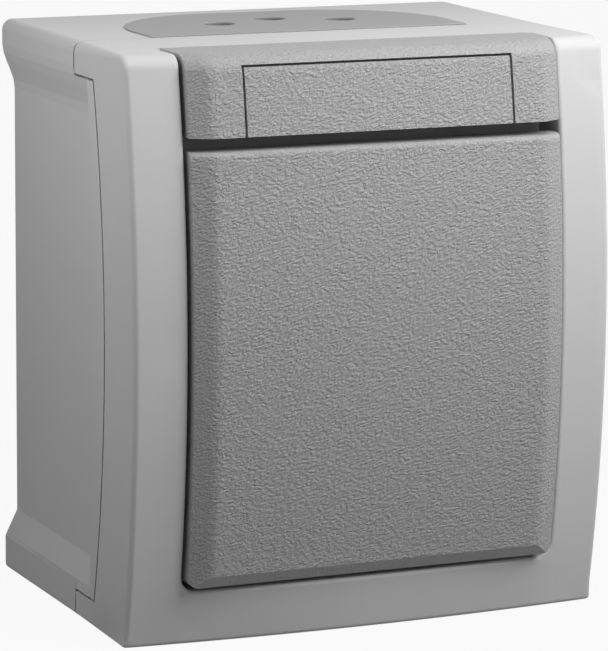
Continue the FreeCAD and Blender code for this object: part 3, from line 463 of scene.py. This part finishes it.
def spun(name: str, profile: np.ndarray, height: float, steps: int) -> bpy.types.Object:
    """A closed outline carried round a level axis that runs into the wall.

    The point (r, f) of the outline at angle a goes to (r cos a, -f, height + r sin a).

    Args:
        name: the piece's name.
        profile: points by two, radius and depth from the wall, in metres.
        height: the axis's height.
        steps: points round the axis.

    Returns:
        The turned piece.
    """
    angle = np.linspace(0, 2 * math.pi, steps, endpoint=False)[:, None]
    radius, depth = profile[None, :, 0], profile[None, :, 1]
    across = radius * np.cos(angle)
    level = np.broadcast_to(-depth, across.shape)
    points = np.stack((across, level, height + radius * np.sin(angle)), axis=2)
    return sheet_mesh(name, points, True, True)


def merged_copy(
    node: bpy.types.Object,
    name: str,
    move: Callable[[np.ndarray], np.ndarray],
) -> bpy.types.Object:
    """A copy of a CAD node, its doubles merged and its points moved by a rule.

    Each face keeps the node's shading, turned by as much as the face itself has turned: with k the
    cross product of its old and new normals, v goes to v + k x v + k x (k x v) / (1 + old . new), and
    the 1 is a little more, so that a face turned right over does no harm.

    Args:
        node: the CAD node, which stays as it is.
        name: the copy's name.
        move: takes points by three in millimetres, with the depth forward from the wall in the
            middle, and returns them moved.

    Returns:
        The copy, at the origin.
    """
    source = node.data
    corners = np.empty(len(source.loops), np.int32)
    source.loops.foreach_get("vertex_index", corners)
    spots = np.empty(3 * len(source.vertices), np.float32)
    source.vertices.foreach_get("co", spots)
    shading = np.empty(3 * len(source.loops), np.float32)
    source.corner_normals.foreach_get("vector", shading)
    forward = np.array((1.0, -1.0, 1.0))
    loose = spots.reshape(-1, 3)[corners] / MM * forward
    points, joined = np.unique(np.round(loose, MERGE_PLACES), axis=0, return_inverse=True)
    faces = joined.reshape(-1, 3)
    whole = (faces != np.roll(faces, 1, axis=1)).all(axis=1)
    faces, shading = faces[whole], shading.reshape(-1, 3, 3)[whole]
    places = move(points) * forward * MM
    before, after = (face_normals(spot, faces)[:, None, :] for spot in (points * forward, places))
    turn = np.cross(before, after)
    once = np.cross(turn, shading)
    alike = (before * after).sum(axis=2, keepdims=True)
    turned = shading + once + np.cross(turn, once) / (TURN_EASE + alike)
    mesh = bpy.data.meshes.new(name)
    mesh.from_pydata(places.tolist(), [], faces.tolist())
    mesh.shade_smooth()
    mesh.normals_split_custom_set(turned.reshape(-1, 3).tolist())
    copy = bpy.data.objects.new(name, mesh)
    bpy.context.scene.collection.objects.link(copy)
    return copy


def face_normals(points: np.ndarray, faces: np.ndarray) -> np.ndarray:
    """The unit normal of each triangle, and nothing for one without an area.

    Args:
        points: points by three.
        faces: triangles by three, as places among the points.

    Returns:
        Triangles by three.
    """
    first, second, third = (points[faces[:, place]] for place in range(3))
    across = np.cross(second - first, third - first)
    return across / np.maximum(np.linalg.norm(across, axis=1, keepdims=True), TINY)


@dataclass(frozen=True)
class CoverForm:
    """The bowed cover with crisp edges, in millimetres; the solid's roundings are wider."""

    half_wide: float = 33.0
    half_tall: float = 37.5
    deep: float = 51.0
    crown: float = 200.0
    key_rise: float = 1.2
    arc: float = 340.0
    solid_front: float = 3.0
    solid_side: float = 1.4
    edge: float = 0.7
    top_edge: float = 2.0
    low_edge: float = 0.9
    slip: float = 0.05

    def front(self, across: np.ndarray | float, height: np.ndarray | float) -> np.ndarray | float:
        """Depth of the front: an arc seen from above, turned about a level axis behind the wall.

        With c the crest's depth at that place across and a the axis's depth, it is
        a + sqrt((c - a) (c - a) - z z) at the height z.

        Args:
            across: distance from the middle.
            height: distance from mid height.

        Returns:
            The depth.
        """
        axis = self.deep - self.crown
        crest = self.deep - self.key_rise - self.arc + np.sqrt(self.arc**2 - across**2)
        return axis + np.sqrt((crest - axis) ** 2 - height**2)

    def move(self, points: np.ndarray) -> np.ndarray:
        """Draw every rounding in: its points go toward the sharp edge by the ratio of the radii.

        The side edges come first, measured inward from the outline seen from the side, which is the
        bowed front, the arc at its end and the straight top or bottom. The front's ends follow.

        Args:
            points: across, depth and height.

        Returns:
            The moved points.
        """
        across, depth, height = points.T
        lift, inset = np.abs(height), self.half_wide - np.abs(across)
        lean = math.asin(self.half_tall / self.crown)
        reach = self.solid_front * math.tan(math.pi / 4 - lean / 2)
        ahead = depth - self.front(self.half_wide, self.half_tall) + reach
        above = lift - self.half_tall + self.solid_front
        radius = np.maximum(np.hypot(ahead, above), self.slip)
        on_end = ahead < 0
        on_arc = ~on_end & (np.arctan2(above, ahead) > lean)
        choices = [on_arc, on_end]
        drop = np.select(
            choices,
            [self.solid_front - radius, self.half_tall - lift],
            self.front(self.half_wide, height) - depth,
        )
        reach_side = self.solid_side + self.slip
        long_edge = np.where(height > 0, 1.0, self.low_edge / self.solid_side)
        ratio = np.where(on_end, long_edge, self.edge / self.solid_side)
        keep = np.where((inset < reach_side) & (drop < reach_side), ratio, 1.0)
        gain = (1 - keep) * drop
        depth = depth + gain * np.select(choices, [ahead / radius, 0.0 * gain], 1.0)
        lift = lift + gain * np.select(choices, [above / radius, 0.0 * gain + 1.0], 0.0)
        across = np.sign(across) * (self.half_wide - keep * inset)
        corner = self.front(across, self.half_tall)
        fall, behind = self.half_tall - lift, corner - depth
        on_round = (fall < reach * math.cos(lean) + self.slip) & (behind < reach + self.slip)
        ratio = np.where(height > 0, self.top_edge, self.edge) / self.solid_front
        keep = np.where(on_round, ratio, 1.0)
        lift = self.half_tall - keep * fall
        return np.stack((across, corner - keep * behind, np.sign(height) * lift), axis=1)


@dataclass(frozen=True)
class BoxForm:
    """The waisted box with crisp edges and a clear seam, in millimetres."""

    half_wide: float = 33.0
    half_tall: float = 37.5
    solid_round: float = 2.2
    top_round: float = 1.4
    low_round: float = 0.9
    waist: float = 1.7
    strips: int = 5
    rail_top: float = 3.2
    slope_top: float = 6.0
    solid_rail: float = 2.6
    solid_slope: float = 5.4
    rail_low: float = 4.6
    slope_low: float = 3.6
    crease: float = 0.85
    seam_axis: float = -112.0
    seam_arc: float = 150.0
    solid_rim: float = 1.5
    solid_rim_slope: float = 7.0
    rim: float = 2.5
    rim_slope: float = 2.0
    solid_gap: float = 0.15
    gap: float = 0.35
    ear_rear: float = 27.3
    ear_under: float = 33.5
    ear_over: float = -34.1
    slip: float = 0.05

    def edges(self, points: np.ndarray) -> np.ndarray:
        """Draw the long roundings in toward their sharp edges, by the ratio of the radii.

        Args:
            points: across, depth and height.

        Returns:
            The moved points.
        """
        across, depth, height = points.T
        inset, fall = self.half_wide - np.abs(across), self.half_tall - np.abs(height)
        near = np.maximum(inset, fall) < self.solid_round + self.slip
        ratio = np.where(height > 0, self.top_round, self.low_round) / self.solid_round
        keep = np.where(near, ratio, 1.0)
        wide, tall = self.half_wide - keep * inset, self.half_tall - keep * fall
        return np.stack((np.sign(across) * wide, depth, np.sign(height) * tall), axis=1)

    def sides(self, points: np.ndarray) -> np.ndarray:
        """Make the lower slope a short flat one and the rim beside the seam a narrow one.

        A point sunk by a share s of the waist lies the way w into the slopes, where s = w w (3 - 2 w)
        at the ends of each flat strip and runs straight between them. Its height is stretched between
        the upper slope and the new lower one at that way, and a point on the seam's side goes to the
        arc of the new rim. Beside the lower ear the rail lies flush.

        Args:
            points: across, depth and height.

        Returns:
            The moved points.
        """
        across, depth, height = points.T
        inset = self.half_wide - np.abs(across)
        sunk = np.clip(inset / self.waist, 0, 1)
        steps = np.linspace(0, 1, self.strips + 1)
        way = np.interp(sunk, steps * steps * (3 - 2 * steps), steps)
        top = self.half_tall - self.rail_top - self.slope_top * way
        solid_low = self.solid_rail + self.solid_slope * way - self.half_tall
        bend = self.crease * sunk + (1 - self.crease) * way
        low = self.rail_low + self.slope_low * bend - self.half_tall
        solid_arc = self.seam_arc - self.solid_rim - self.solid_rim_slope * way
        arc = self.seam_arc - self.rim - self.rim_slope * way
        radius = np.hypot(depth - self.seam_axis, height)
        level = (height < top + self.slip) & (height > solid_low - self.slip)
        inside = level & (inset < self.waist + self.slip) & (radius < solid_arc + self.slip)
        trimmed = inside & self.at_low_ear(depth, height)
        across = np.where(trimmed, np.sign(across) * self.half_wide, across)
        moved = top - (top - height) * (top - low) / (top - solid_low)
        height = np.where(inside & ~trimmed, moved, height)
        on_rim = inside & ~trimmed & (radius > solid_arc - self.slip)
        depth = np.where(on_rim, self.seam_axis + np.sqrt(arc**2 - height**2), depth)
        return np.stack((across, depth, height), axis=1)

    def at_low_ear(self, depth: np.ndarray, height: np.ndarray) -> np.ndarray:
        """Is a point on the level edge that the cover's lower ear lies under?"""
        level = np.abs(height - self.ear_over - self.solid_gap) < self.slip
        return level & (depth > self.ear_rear - self.solid_gap - self.slip)

    def seam(self, points: np.ndarray) -> np.ndarray:
        """Widen the seam: what faces the cover across it goes back by what the gap gains.

        Args:
            points: across, depth and height.

        Returns:
            The moved points.
        """
        across, depth, height = points.T
        gain = self.gap - self.solid_gap
        spread = np.hypot(depth - self.seam_axis, height) - self.seam_arc + self.solid_gap
        high, low = self.ear_under - self.solid_gap, self.ear_over + self.solid_gap
        on_arc = (np.abs(spread) < self.slip) & (height < high + self.slip) & (height > low - self.slip)
        reached = depth > self.ear_rear - self.solid_gap - self.slip
        on_high, on_low = (reached & (np.abs(height - level) < self.slip) for level in (high, low))
        outer = (height > high - self.slip) | (height < low + self.slip)
        on_rear = outer & (np.abs(depth - self.ear_rear + self.solid_gap) < self.slip)
        depth = depth - gain * (on_arc | on_rear)
        height = height - gain * on_high + gain * on_low
        return np.stack((across, depth, height), axis=1)

    def move(self, points: np.ndarray) -> np.ndarray:
        """The sides, then the seam, then the long edges."""
        return self.edges(self.seam(self.sides(points)))


@dataclass
class Enclosure:
    """The wall box, the bowed cover and what seals and holds them together."""

    shells: tuple[str, ...] = ("base_box", "front_frame")
    seals: tuple[str, ...] = ("frame_gasket", "screw_seals")
    screws: tuple[str, ...] = ("cover_screws",)

    def build(self, nodes: dict[str, bpy.types.Object], box: Paintbox) -> None:
        """Make the box and the cover with the crisp edges of the real mouldings.

        Args:
            nodes: the CAD nodes by name.
            box: the materials.
        """
        forms = (("wall_box", "base_box", BoxForm()), ("bowed_cover", "front_frame", CoverForm()))
        for name, node, form in forms:
            shell = merged_copy(nodes[node], name, form.move)
            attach(shell, "box")
            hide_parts(node)
            box.coat(shell, Slot.SHELL)

    def dress(self, nodes: dict[str, bpy.types.Object], box: Paintbox) -> None:
        """Coat the CAD nodes of the enclosure.

        Args:
            nodes: the CAD nodes by name.
            box: the materials.
        """
        for names, slot in ((self.shells, Slot.SHELL), (self.seals, Slot.SEAL), (self.screws, Slot.STEEL)):
            for name in names:
                box.coat(nodes[name], slot)


@dataclass
class FrontFace:
    """The grained key, the header above it with its label insert, and the key's pins."""

    mouldings: tuple[str, ...] = ("rocker", "header_panel", "label_cover")
    pins: str = "pivot_pins"
    insert: str = "label_cover"
    insert_half: float = 18.46
    insert_low: float = 27.4
    insert_top: float = 36.06
    groove_gain: float = 0.18

    def trim(self, points: np.ndarray) -> np.ndarray:
        """Draw the insert's sides and top in, so that its groove shows.

        Args:
            points: across, depth and height.

        Returns:
            The moved points.
        """
        across, depth, height = points.T
        narrow = 1 - self.groove_gain / self.insert_half
        lower = 1 - self.groove_gain / (self.insert_top - self.insert_low)
        height = self.insert_low + (height - self.insert_low) * lower
        return np.stack((across * narrow, depth, height), axis=1)

    def build(self, nodes: dict[str, bpy.types.Object], box: Paintbox) -> None:
        """Make the label insert with its groove.

        Args:
            nodes: the CAD nodes by name.
            box: the materials.
        """
        insert = merged_copy(nodes[self.insert], "label_insert", self.trim)
        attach(insert, "box")
        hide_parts(self.insert)
        box.coat(insert, Slot.FACE)

    def dress(self, nodes: dict[str, bpy.types.Object], box: Paintbox) -> None:
        """Coat the CAD nodes of the face.

        Args:
            nodes: the CAD nodes by name.
            box: the materials.
        """
        for name in self.mouldings:
            box.coat(nodes[name], Slot.FACE)
        box.coat(nodes[self.pins], Slot.STEEL)


@dataclass
class CableEntry:
    """The soft plate let into the top wall, with three dimples for cables; in millimetres."""

    node: str = "entry_membrane"
    half: float = 22.4
    front: float = 26.95
    back: float = 4.4
    corner: float = 16.0
    hub: float = 19.0
    top: float = 37.66
    wall_top: float = 37.5
    wall_under: float = 32.9
    foot: float = 32.15
    skin_under: float = 35.8
    lid_round: float = 0.08
    round_share: float = 0.3
    lid_lift: float = 0.04
    lid_under: float = 0.3
    slack: float = 0.01
    hole: float = 19.75
    hole_hub: float = 27.3
    chord: float = 25.25
    lip: float = 1.5
    wall: float = 1.4
    dimple: float = 1.95
    dimple_deep: float = 1.35
    dimple_soft: float = 0.8
    dimple_edge: float = 0.4
    dimple_spread: float = 8.7
    dimple_row: float = 16.2
    dimple_step: float = 3.4
    round_steps: int = 320
    lid_steps: int = 96
    corner_steps: int = 60
    neck_steps: int = 120
    sharp_angle: float = 75.0

    def ring(self, corners: np.ndarray) -> np.ndarray:
        """Points at even steps along an outline, from the middle of its front and round again.

        Args:
            corners: points by two.

        Returns:
            As many points by two as a ring has steps.
        """
        shut = np.concatenate((corners, corners[:1]))
        way = np.concatenate(([0.0], np.cumsum(np.linalg.norm(np.diff(shut, axis=0), axis=1))))
        steps = np.linspace(0, way[-1], self.round_steps, endpoint=False)
        return np.stack([np.interp(steps, way, shut[:, axis]) for axis in range(2)], axis=1)

    def lid(self, inset: float) -> np.ndarray:
        """The plate's outline, set in: straight front and sides, and rear corners that are arcs.

        Args:
            inset: how far inside the plate's edge.

        Returns:
            A ring of points, across and depth.
        """
        side, back, radius = self.half - inset, self.back + inset, self.corner - inset
        turn = np.linspace(0, math.pi / 2, self.corner_steps)
        outward, rearward = radius * np.cos(turn), radius * np.sin(turn)
        right = np.stack((side - radius + outward, back + radius - rearward), axis=1)
        left = right[::-1] * (-1, 1)
        ends = np.array([(0.0, self.front - inset), (side, self.front - inset)])
        last = np.array([(-side, self.front - inset)])
        return self.ring(np.concatenate((ends, right, left, last)))

    def neck(self, inset: float) -> np.ndarray:
        """The outline of the hole in the wall, set in: a disc cut straight at its front.

        Args:
            inset: how far inside the hole's edge.

        Returns:
            A ring of points, across and depth.
        """
        radius, chord = self.hole - inset, self.chord - inset
        start = math.asin((self.hole_hub - chord) / radius)
        turn = np.linspace(start, math.pi - start, self.neck_steps)
        arc = np.stack((radius * np.cos(turn), self.hole_hub - radius * np.sin(turn)), axis=1)
        return self.ring(np.concatenate(([(0.0, chord)], arc)))

    def sink(self, spots: np.ndarray) -> np.ndarray:
        """How far the lid is sunk: in each dimple a bowl with a flat floor and a quarter round.

        At r from a dimple's middle the bowl is deep by d - s + sqrt(s s - t t), where t is r less the
        floor's radius, and it ends in a smooth step at its rim.

        Args:
            spots: any shape by two, across and depth.

        Returns:
            The sunk depths.
        """
        spread, row = self.dimple_spread, self.dimple_row
        middles = np.array([(spread, row), (-spread, row), (0.0, row - self.dimple_step)])
        away = np.linalg.norm(spots[..., None, :] - middles, axis=-1)
        past = np.clip(away - self.dimple + self.dimple_soft, 0, self.dimple_soft)
        bowl = self.dimple_deep - self.dimple_soft + np.sqrt(self.dimple_soft**2 - past**2)
        step = np.clip((self.dimple + self.dimple_edge / 2 - away) / self.dimple_edge, 0, 1)
        return (bowl * step * step * (3 - 2 * step)).sum(axis=-1)

    def build(self, box: Paintbox) -> None:
        """Stack rings from the middle of the lid over its edge, down the neck and up to the skin.

        Args:
            box: the materials.
        """
        hub = np.array((0.0, self.hub))
        share = np.linspace(0, 1, self.lid_steps)[:, None, None]
        lid = hub + share * (self.lid(self.lid_round) - hub)
        crown = np.concatenate((lid, (self.top - self.sink(lid))[..., None]), axis=2)
        rings = [
            (self.lid(self.lid_round * self.round_share), self.top - self.lid_round * self.round_share),
            (self.lid(0.0), self.top - self.lid_round),
            (self.lid(0.0), self.wall_top + self.lid_lift),
            (self.lid(self.lid_under), self.wall_top + self.slack),
            (self.neck(0.0), self.wall_top + self.slack),
            (self.neck(0.0), self.wall_under - self.slack),
            (self.neck(-self.lip), self.wall_under - self.slack),
            (self.neck(-self.lip), self.foot),
            (self.neck(self.wall), self.foot),
            (self.neck(self.wall), self.skin_under),
            (0 * self.neck(0.0) + hub, self.skin_under),
        ]
        flat = [np.insert(ring, 2, level, axis=1) for ring, level in rings]
        points = np.concatenate((crown, np.stack(flat))) * (MM, -MM, MM)
        plate = sheet_mesh("entry_plate", points, False, True)
        plate.data.set_sharp_from_angle(angle=math.radians(self.sharp_angle))
        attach(plate, "box")
        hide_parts(self.node)
        box.coat(plate, Slot.ENTRY)

    def dress(self, nodes: dict[str, bpy.types.Object], box: Paintbox) -> None:
        """Coat the CAD node that the plate stands for."""
        box.coat(nodes[self.node], Slot.ENTRY)


@dataclass
class ReturnCoil:
    """The coil spring between the contact base and the bridge."""

    radius: float = 2.8 * MM
    wire: float = 0.35 * MM
    start: float = 11.0 * MM
    end: float = 19.2 * MM
    height: float = -5.0 * MM
    turns: float = 4.0
    travel: float = 1.46 * MM
    rest_pitch: float = 0.6
    steps: int = 240
    round_steps: int = 12

    def build(self) -> bpy.types.Object:
        """A round wire carried along a helix whose pitch closes up at both ends.

        At way t the centre is (r cos a, -(s + (e - s) p), h + r sin a) with a = 2 pi n t
        and p = t - k sin(2 pi t) / (2 pi), and the wire's circle stands across the path.

        Returns:
            The spring.
        """
        way = np.linspace(0, 1, self.steps)
        angle = 2 * math.pi * self.turns * way
        pitch = way - self.rest_pitch * np.sin(2 * math.pi * way) / (2 * math.pi)
        depth = self.start + self.wire + (self.end - self.start - 2 * self.wire) * pitch
        outward = np.stack((np.cos(angle), np.zeros_like(angle), np.sin(angle)), axis=1)
        centre = outward * self.radius + np.stack((0 * way, -depth, 0 * way + self.height), axis=1)
        along = np.gradient(centre, axis=0)
        along /= np.linalg.norm(along, axis=1, keepdims=True)
        upward = np.cross(along, outward)
        turn = np.linspace(0, 2 * math.pi, self.round_steps, endpoint=False)
        thick = np.full(self.steps, self.wire)
        thick[[0, -1]] = 0.0
        level, rise = np.cos(turn)[None, :, None], np.sin(turn)[None, :, None]
        ring = level * outward[:, None, :] + rise * upward[:, None, :]
        points = centre[:, None, :] + thick[:, None, None] * ring
        coil = sheet_mesh("return_coil", points, False, True)
        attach(coil, "box")
        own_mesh(coil)
        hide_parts("return_spring")
        return coil


@dataclass
class SealingBoot:
    """The rubber boot: a rim that grips the cover's floor and bellows that grip the plunger."""

    neck: float = 2.55
    collar: float = 3.9
    collar_rear: float = 40.7
    collar_front: float = 42.0
    fold: float = 7.6
    fold_depth: float = 39.9
    half_skin: float = 0.42
    window: float = 9.0
    floor_rear: float = 39.3
    floor_front: float = 41.3
    height: float = -5.0
    travel: float = 1.46
    shoulder: float = 0.7
    shoulder_drop: float = 0.8
    tuck: float = 0.2
    overlap: float = 0.05
    lip: float = 0.8
    lip_reach: float = 1.4
    flange: float = 0.9
    flange_reach: float = 2.0
    side_clear: float = 0.03
    face_clear: float = 0.02
    soft_rounds: int = 2
    steps: int = 72

    def bellows(self) -> bpy.types.Object:
        """The collar and the sloping skin, spun round the plunger.

        Returns:
            The bellows.
        """
        outline = [
            (self.neck, self.collar_rear),
            (self.neck, self.collar_front),
            (self.collar, self.collar_front),
            (self.collar + self.shoulder, self.collar_front - self.shoulder_drop),
            (self.fold, self.fold_depth + self.half_skin),
            (self.fold, self.fold_depth - self.half_skin),
            (self.collar + self.tuck, self.collar_rear - self.tuck),
        ]
        profile = soften(np.array(outline) * MM, self.soft_rounds)
        skin = spun("boot_bellows", profile, self.height * MM, self.steps)
        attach(skin, "box")
        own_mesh(skin)
        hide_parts("sealing_diaphragm")
        return skin

    def rim(self) -> bpy.types.Object:
        """The grooved ring that sits in the floor's window, spun round the plunger.

        Returns:
            The rim.
        """
        inner, groove = self.fold - self.overlap, self.window - self.side_clear
        front, rear = self.floor_front + self.face_clear, self.floor_rear - self.face_clear
        outline = [
            (inner, self.fold_depth + self.half_skin),
            (self.window - self.lip, self.floor_front + self.lip),
            (self.window + self.lip_reach, self.floor_front + self.lip),
            (self.window + self.lip_reach, front),
            (groove, front),
            (groove, rear),
            (self.window + self.flange_reach, rear),
            (self.window + self.flange_reach, self.floor_rear - self.flange),
            (self.fold, self.floor_rear - self.flange),
            (inner, self.fold_depth - self.half_skin),
        ]
        ring = spun("boot_rim", np.array(outline) * MM, self.height * MM, self.steps)
        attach(ring, "box")
        return ring


@dataclass
class Mechanism:
    """The switch insert behind the cover's floor."""

    mouldings: tuple[str, ...] = ("plunger", "mechanism_housing", "contact_base")
    steel: tuple[str, ...] = ("mounting_strap", "strap_screws", "terminal_screws")
    brass: tuple[str, ...] = ("contact_bridge", "fixed_contacts", "terminal_clamps", "strap_rivets")
    contacts: tuple[str, ...] = ("bridge_rivets", "contact_rivets")

    def build(self, box: Paintbox) -> None:
        """Make the spring and the boot.

        Args:
            box: the materials.
        """
        boot = SealingBoot()
        box.coat(ReturnCoil().build(), Slot.STEEL)
        box.coat(boot.bellows(), Slot.SEAL)
        box.coat(boot.rim(), Slot.SEAL)

    def dress(self, nodes: dict[str, bpy.types.Object], box: Paintbox) -> None:
        """Coat the CAD nodes of the insert.

        Args:
            nodes: the CAD nodes by name.
            box: the materials.
        """
        groups = (
            (self.mouldings, Slot.INNER),
            (self.steel, Slot.STEEL),
            (self.brass, Slot.BRASS),
            (self.contacts, Slot.CONTACT),
        )
        for names, slot in groups:
            for name in names:
                box.coat(nodes[name], slot)


@dataclass(frozen=True)
class Lamp:
    """A soft rectangular lamp, placed by where it stands and what it faces."""

    name: str
    place: tuple[float, float, float]
    target: tuple[float, float, float]
    size: tuple[float, float]
    power: float

    def build(self) -> None:
        """Hang the lamp."""
        light = bpy.data.lights.new(self.name, "AREA")
        light.shape = "RECTANGLE"
        light.size, light.size_y = self.size
        light.energy = self.power
        lamp = bpy.data.objects.new(self.name, light)
        away = Vector(self.place) - Vector(self.target)
        turn = away.to_track_quat("Z", "Y").to_matrix().to_4x4()
        lamp.matrix_world = Matrix.Translation(self.place) @ turn
        bpy.context.scene.collection.objects.link(lamp)


LAMPS = (
    Lamp("right_softbox", (0.17, -0.18, 0.17), (0.0, -0.045, 0.0), (0.14, 0.1), 0.51),
    Lamp("top_softbox", (0.03, -0.1, 0.12), (0.0, -0.045, 0.0), (0.08, 0.06), 0.067),
    Lamp("front_softbox", (0.0, -0.25, 0.1), (0.0, -0.045, 0.0), (0.14, 0.14), 0.054),
    Lamp("left_softbox", (-0.11, -0.04, 0.07), (0.0, -0.03, 0.0), (0.06, 0.06), 0.046),
    Lamp("back_softbox", (0.25, 0.3, 0.0), (0.0, 0.0, 0.0), (0.2, 0.05), 0.3),
)


@dataclass
class Studio:
    """The photograph's camera, the floor, the pale surroundings and the lamps."""

    azimuth: float = 23.79
    elevation: float = 10.73
    roll: float = 0.44
    focal_pixels: float = 3966.0
    distance: float = 0.4948
    aim: tuple[float, float, float] = (-11.4 * MM, -51.0 * MM, 3.64 * MM)
    floor_half: float = 3.0
    floor_level: float = -37.5 * MM
    floor_tone: float = 0.25
    floor_glow: float = 0.94
    near_clip: float = 0.01
    surround: float = 0.07

    def camera(self) -> None:
        """Stand the camera where the photograph was taken from."""
        turn, lift, tilt = (math.radians(angle) for angle in (self.azimuth, self.elevation, self.roll))
        back = Vector((-math.sin(turn) * math.cos(lift), -math.cos(turn) * math.cos(lift), math.sin(lift)))
        side = Vector((math.cos(turn), -math.sin(turn), 0.0))
        over = side.cross(-back)
        across = math.cos(tilt) * side + math.sin(tilt) * over
        upward = math.cos(tilt) * over - math.sin(tilt) * side
        frame = Matrix((across, upward, back)).transposed().to_4x4()
        lens = bpy.data.cameras.new("photo_camera")
        lens.sensor_width = SENSOR
        lens.lens = SENSOR * self.focal_pixels / IMAGE_HEIGHT
        lens.clip_start = self.near_clip
        camera = bpy.data.objects.new("photo_camera", lens)
        camera.matrix_world = Matrix.Translation(Vector(self.aim) + back * self.distance) @ frame
        bpy.context.scene.collection.objects.link(camera)
        bpy.context.scene.camera = camera

    @staticmethod
    def seen(bench: Bench) -> Wire:
        """1 for a ray that shows the surroundings, straight, mirrored or through glass.

        Args:
            bench: the tree that it is for.

        Returns:
            The wire.
        """
        path = bench.node("LightPath")
        straight, mirrored, through = (Wire(bench, path.outputs[name]) for name in SHOWN_RAYS)
        return bench.sum("MINIMUM", straight + mirrored + through, 1.0)

    def floor(self) -> None:
        """Lay a pale floor that stays near white to the eye and keeps a soft shadow."""
        bench = Bench(bpy.data.materials.new("pale_floor"))
        lit = bench.wire("BsdfDiffuse", None, {"Color": grey(self.floor_tone)})
        glow = bench.wire("Emission", None, {"Color": grey(1.0), "Strength": 1.0})
        shown = self.seen(bench) * self.floor_glow
        mixed = bench.wire("MixShader", None, {0: shown, 1: lit, 2: glow})
        bench.node("OutputMaterial", None, {"Surface": mixed})
        reach = self.floor_half
        spots = np.array([(-reach, -reach), (reach, -reach), (reach, reach), (-reach, reach)])
        points = np.concatenate((spots, np.full((4, 1), self.floor_level)), axis=1)
        mesh = bpy.data.meshes.new("floor")
        mesh.from_pydata(points.tolist(), [], [(0, 1, 2, 3)])
        mesh.materials.append(bench.owner)
        ground = bpy.data.objects.new("floor", mesh)
        bpy.context.scene.collection.objects.link(ground)

    def surroundings(self) -> None:
        """White to the eye, and a plain soft grey as light."""
        bench = Bench(bpy.data.worlds.new("studio"))
        shown = self.seen(bench)
        level = shown + (1.0 - shown) * self.surround
        light = bench.wire("Background", None, {"Color": grey(1.0), "Strength": level})
        bench.node("OutputWorld", None, {"Surface": light})
        bpy.context.scene.world = bench.owner

    def build(self) -> None:
        """Set up the whole studio."""
        self.camera()
        self.floor()
        self.surroundings()
        for lamp in LAMPS:
            lamp.build()
        bpy.context.scene.view_settings.view_transform = "Standard"


def main() -> None:
    """Load the frame, dress it and build the studio."""
    logging.basicConfig(level=logging.INFO, format="%(name)s: %(message)s")
    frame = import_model()
    nodes = frame["nodes"]
    box = Paintbox()
    enclosure, face, entry, mechanism = Enclosure(), FrontFace(), CableEntry(), Mechanism()
    enclosure.build(nodes, box)
    face.build(nodes, box)
    entry.build(box)
    mechanism.build(box)
    for assembly in (enclosure, face, entry, mechanism):
        assembly.dress(nodes, box)
    Studio().build()


if __name__ == "__main__":
    main()
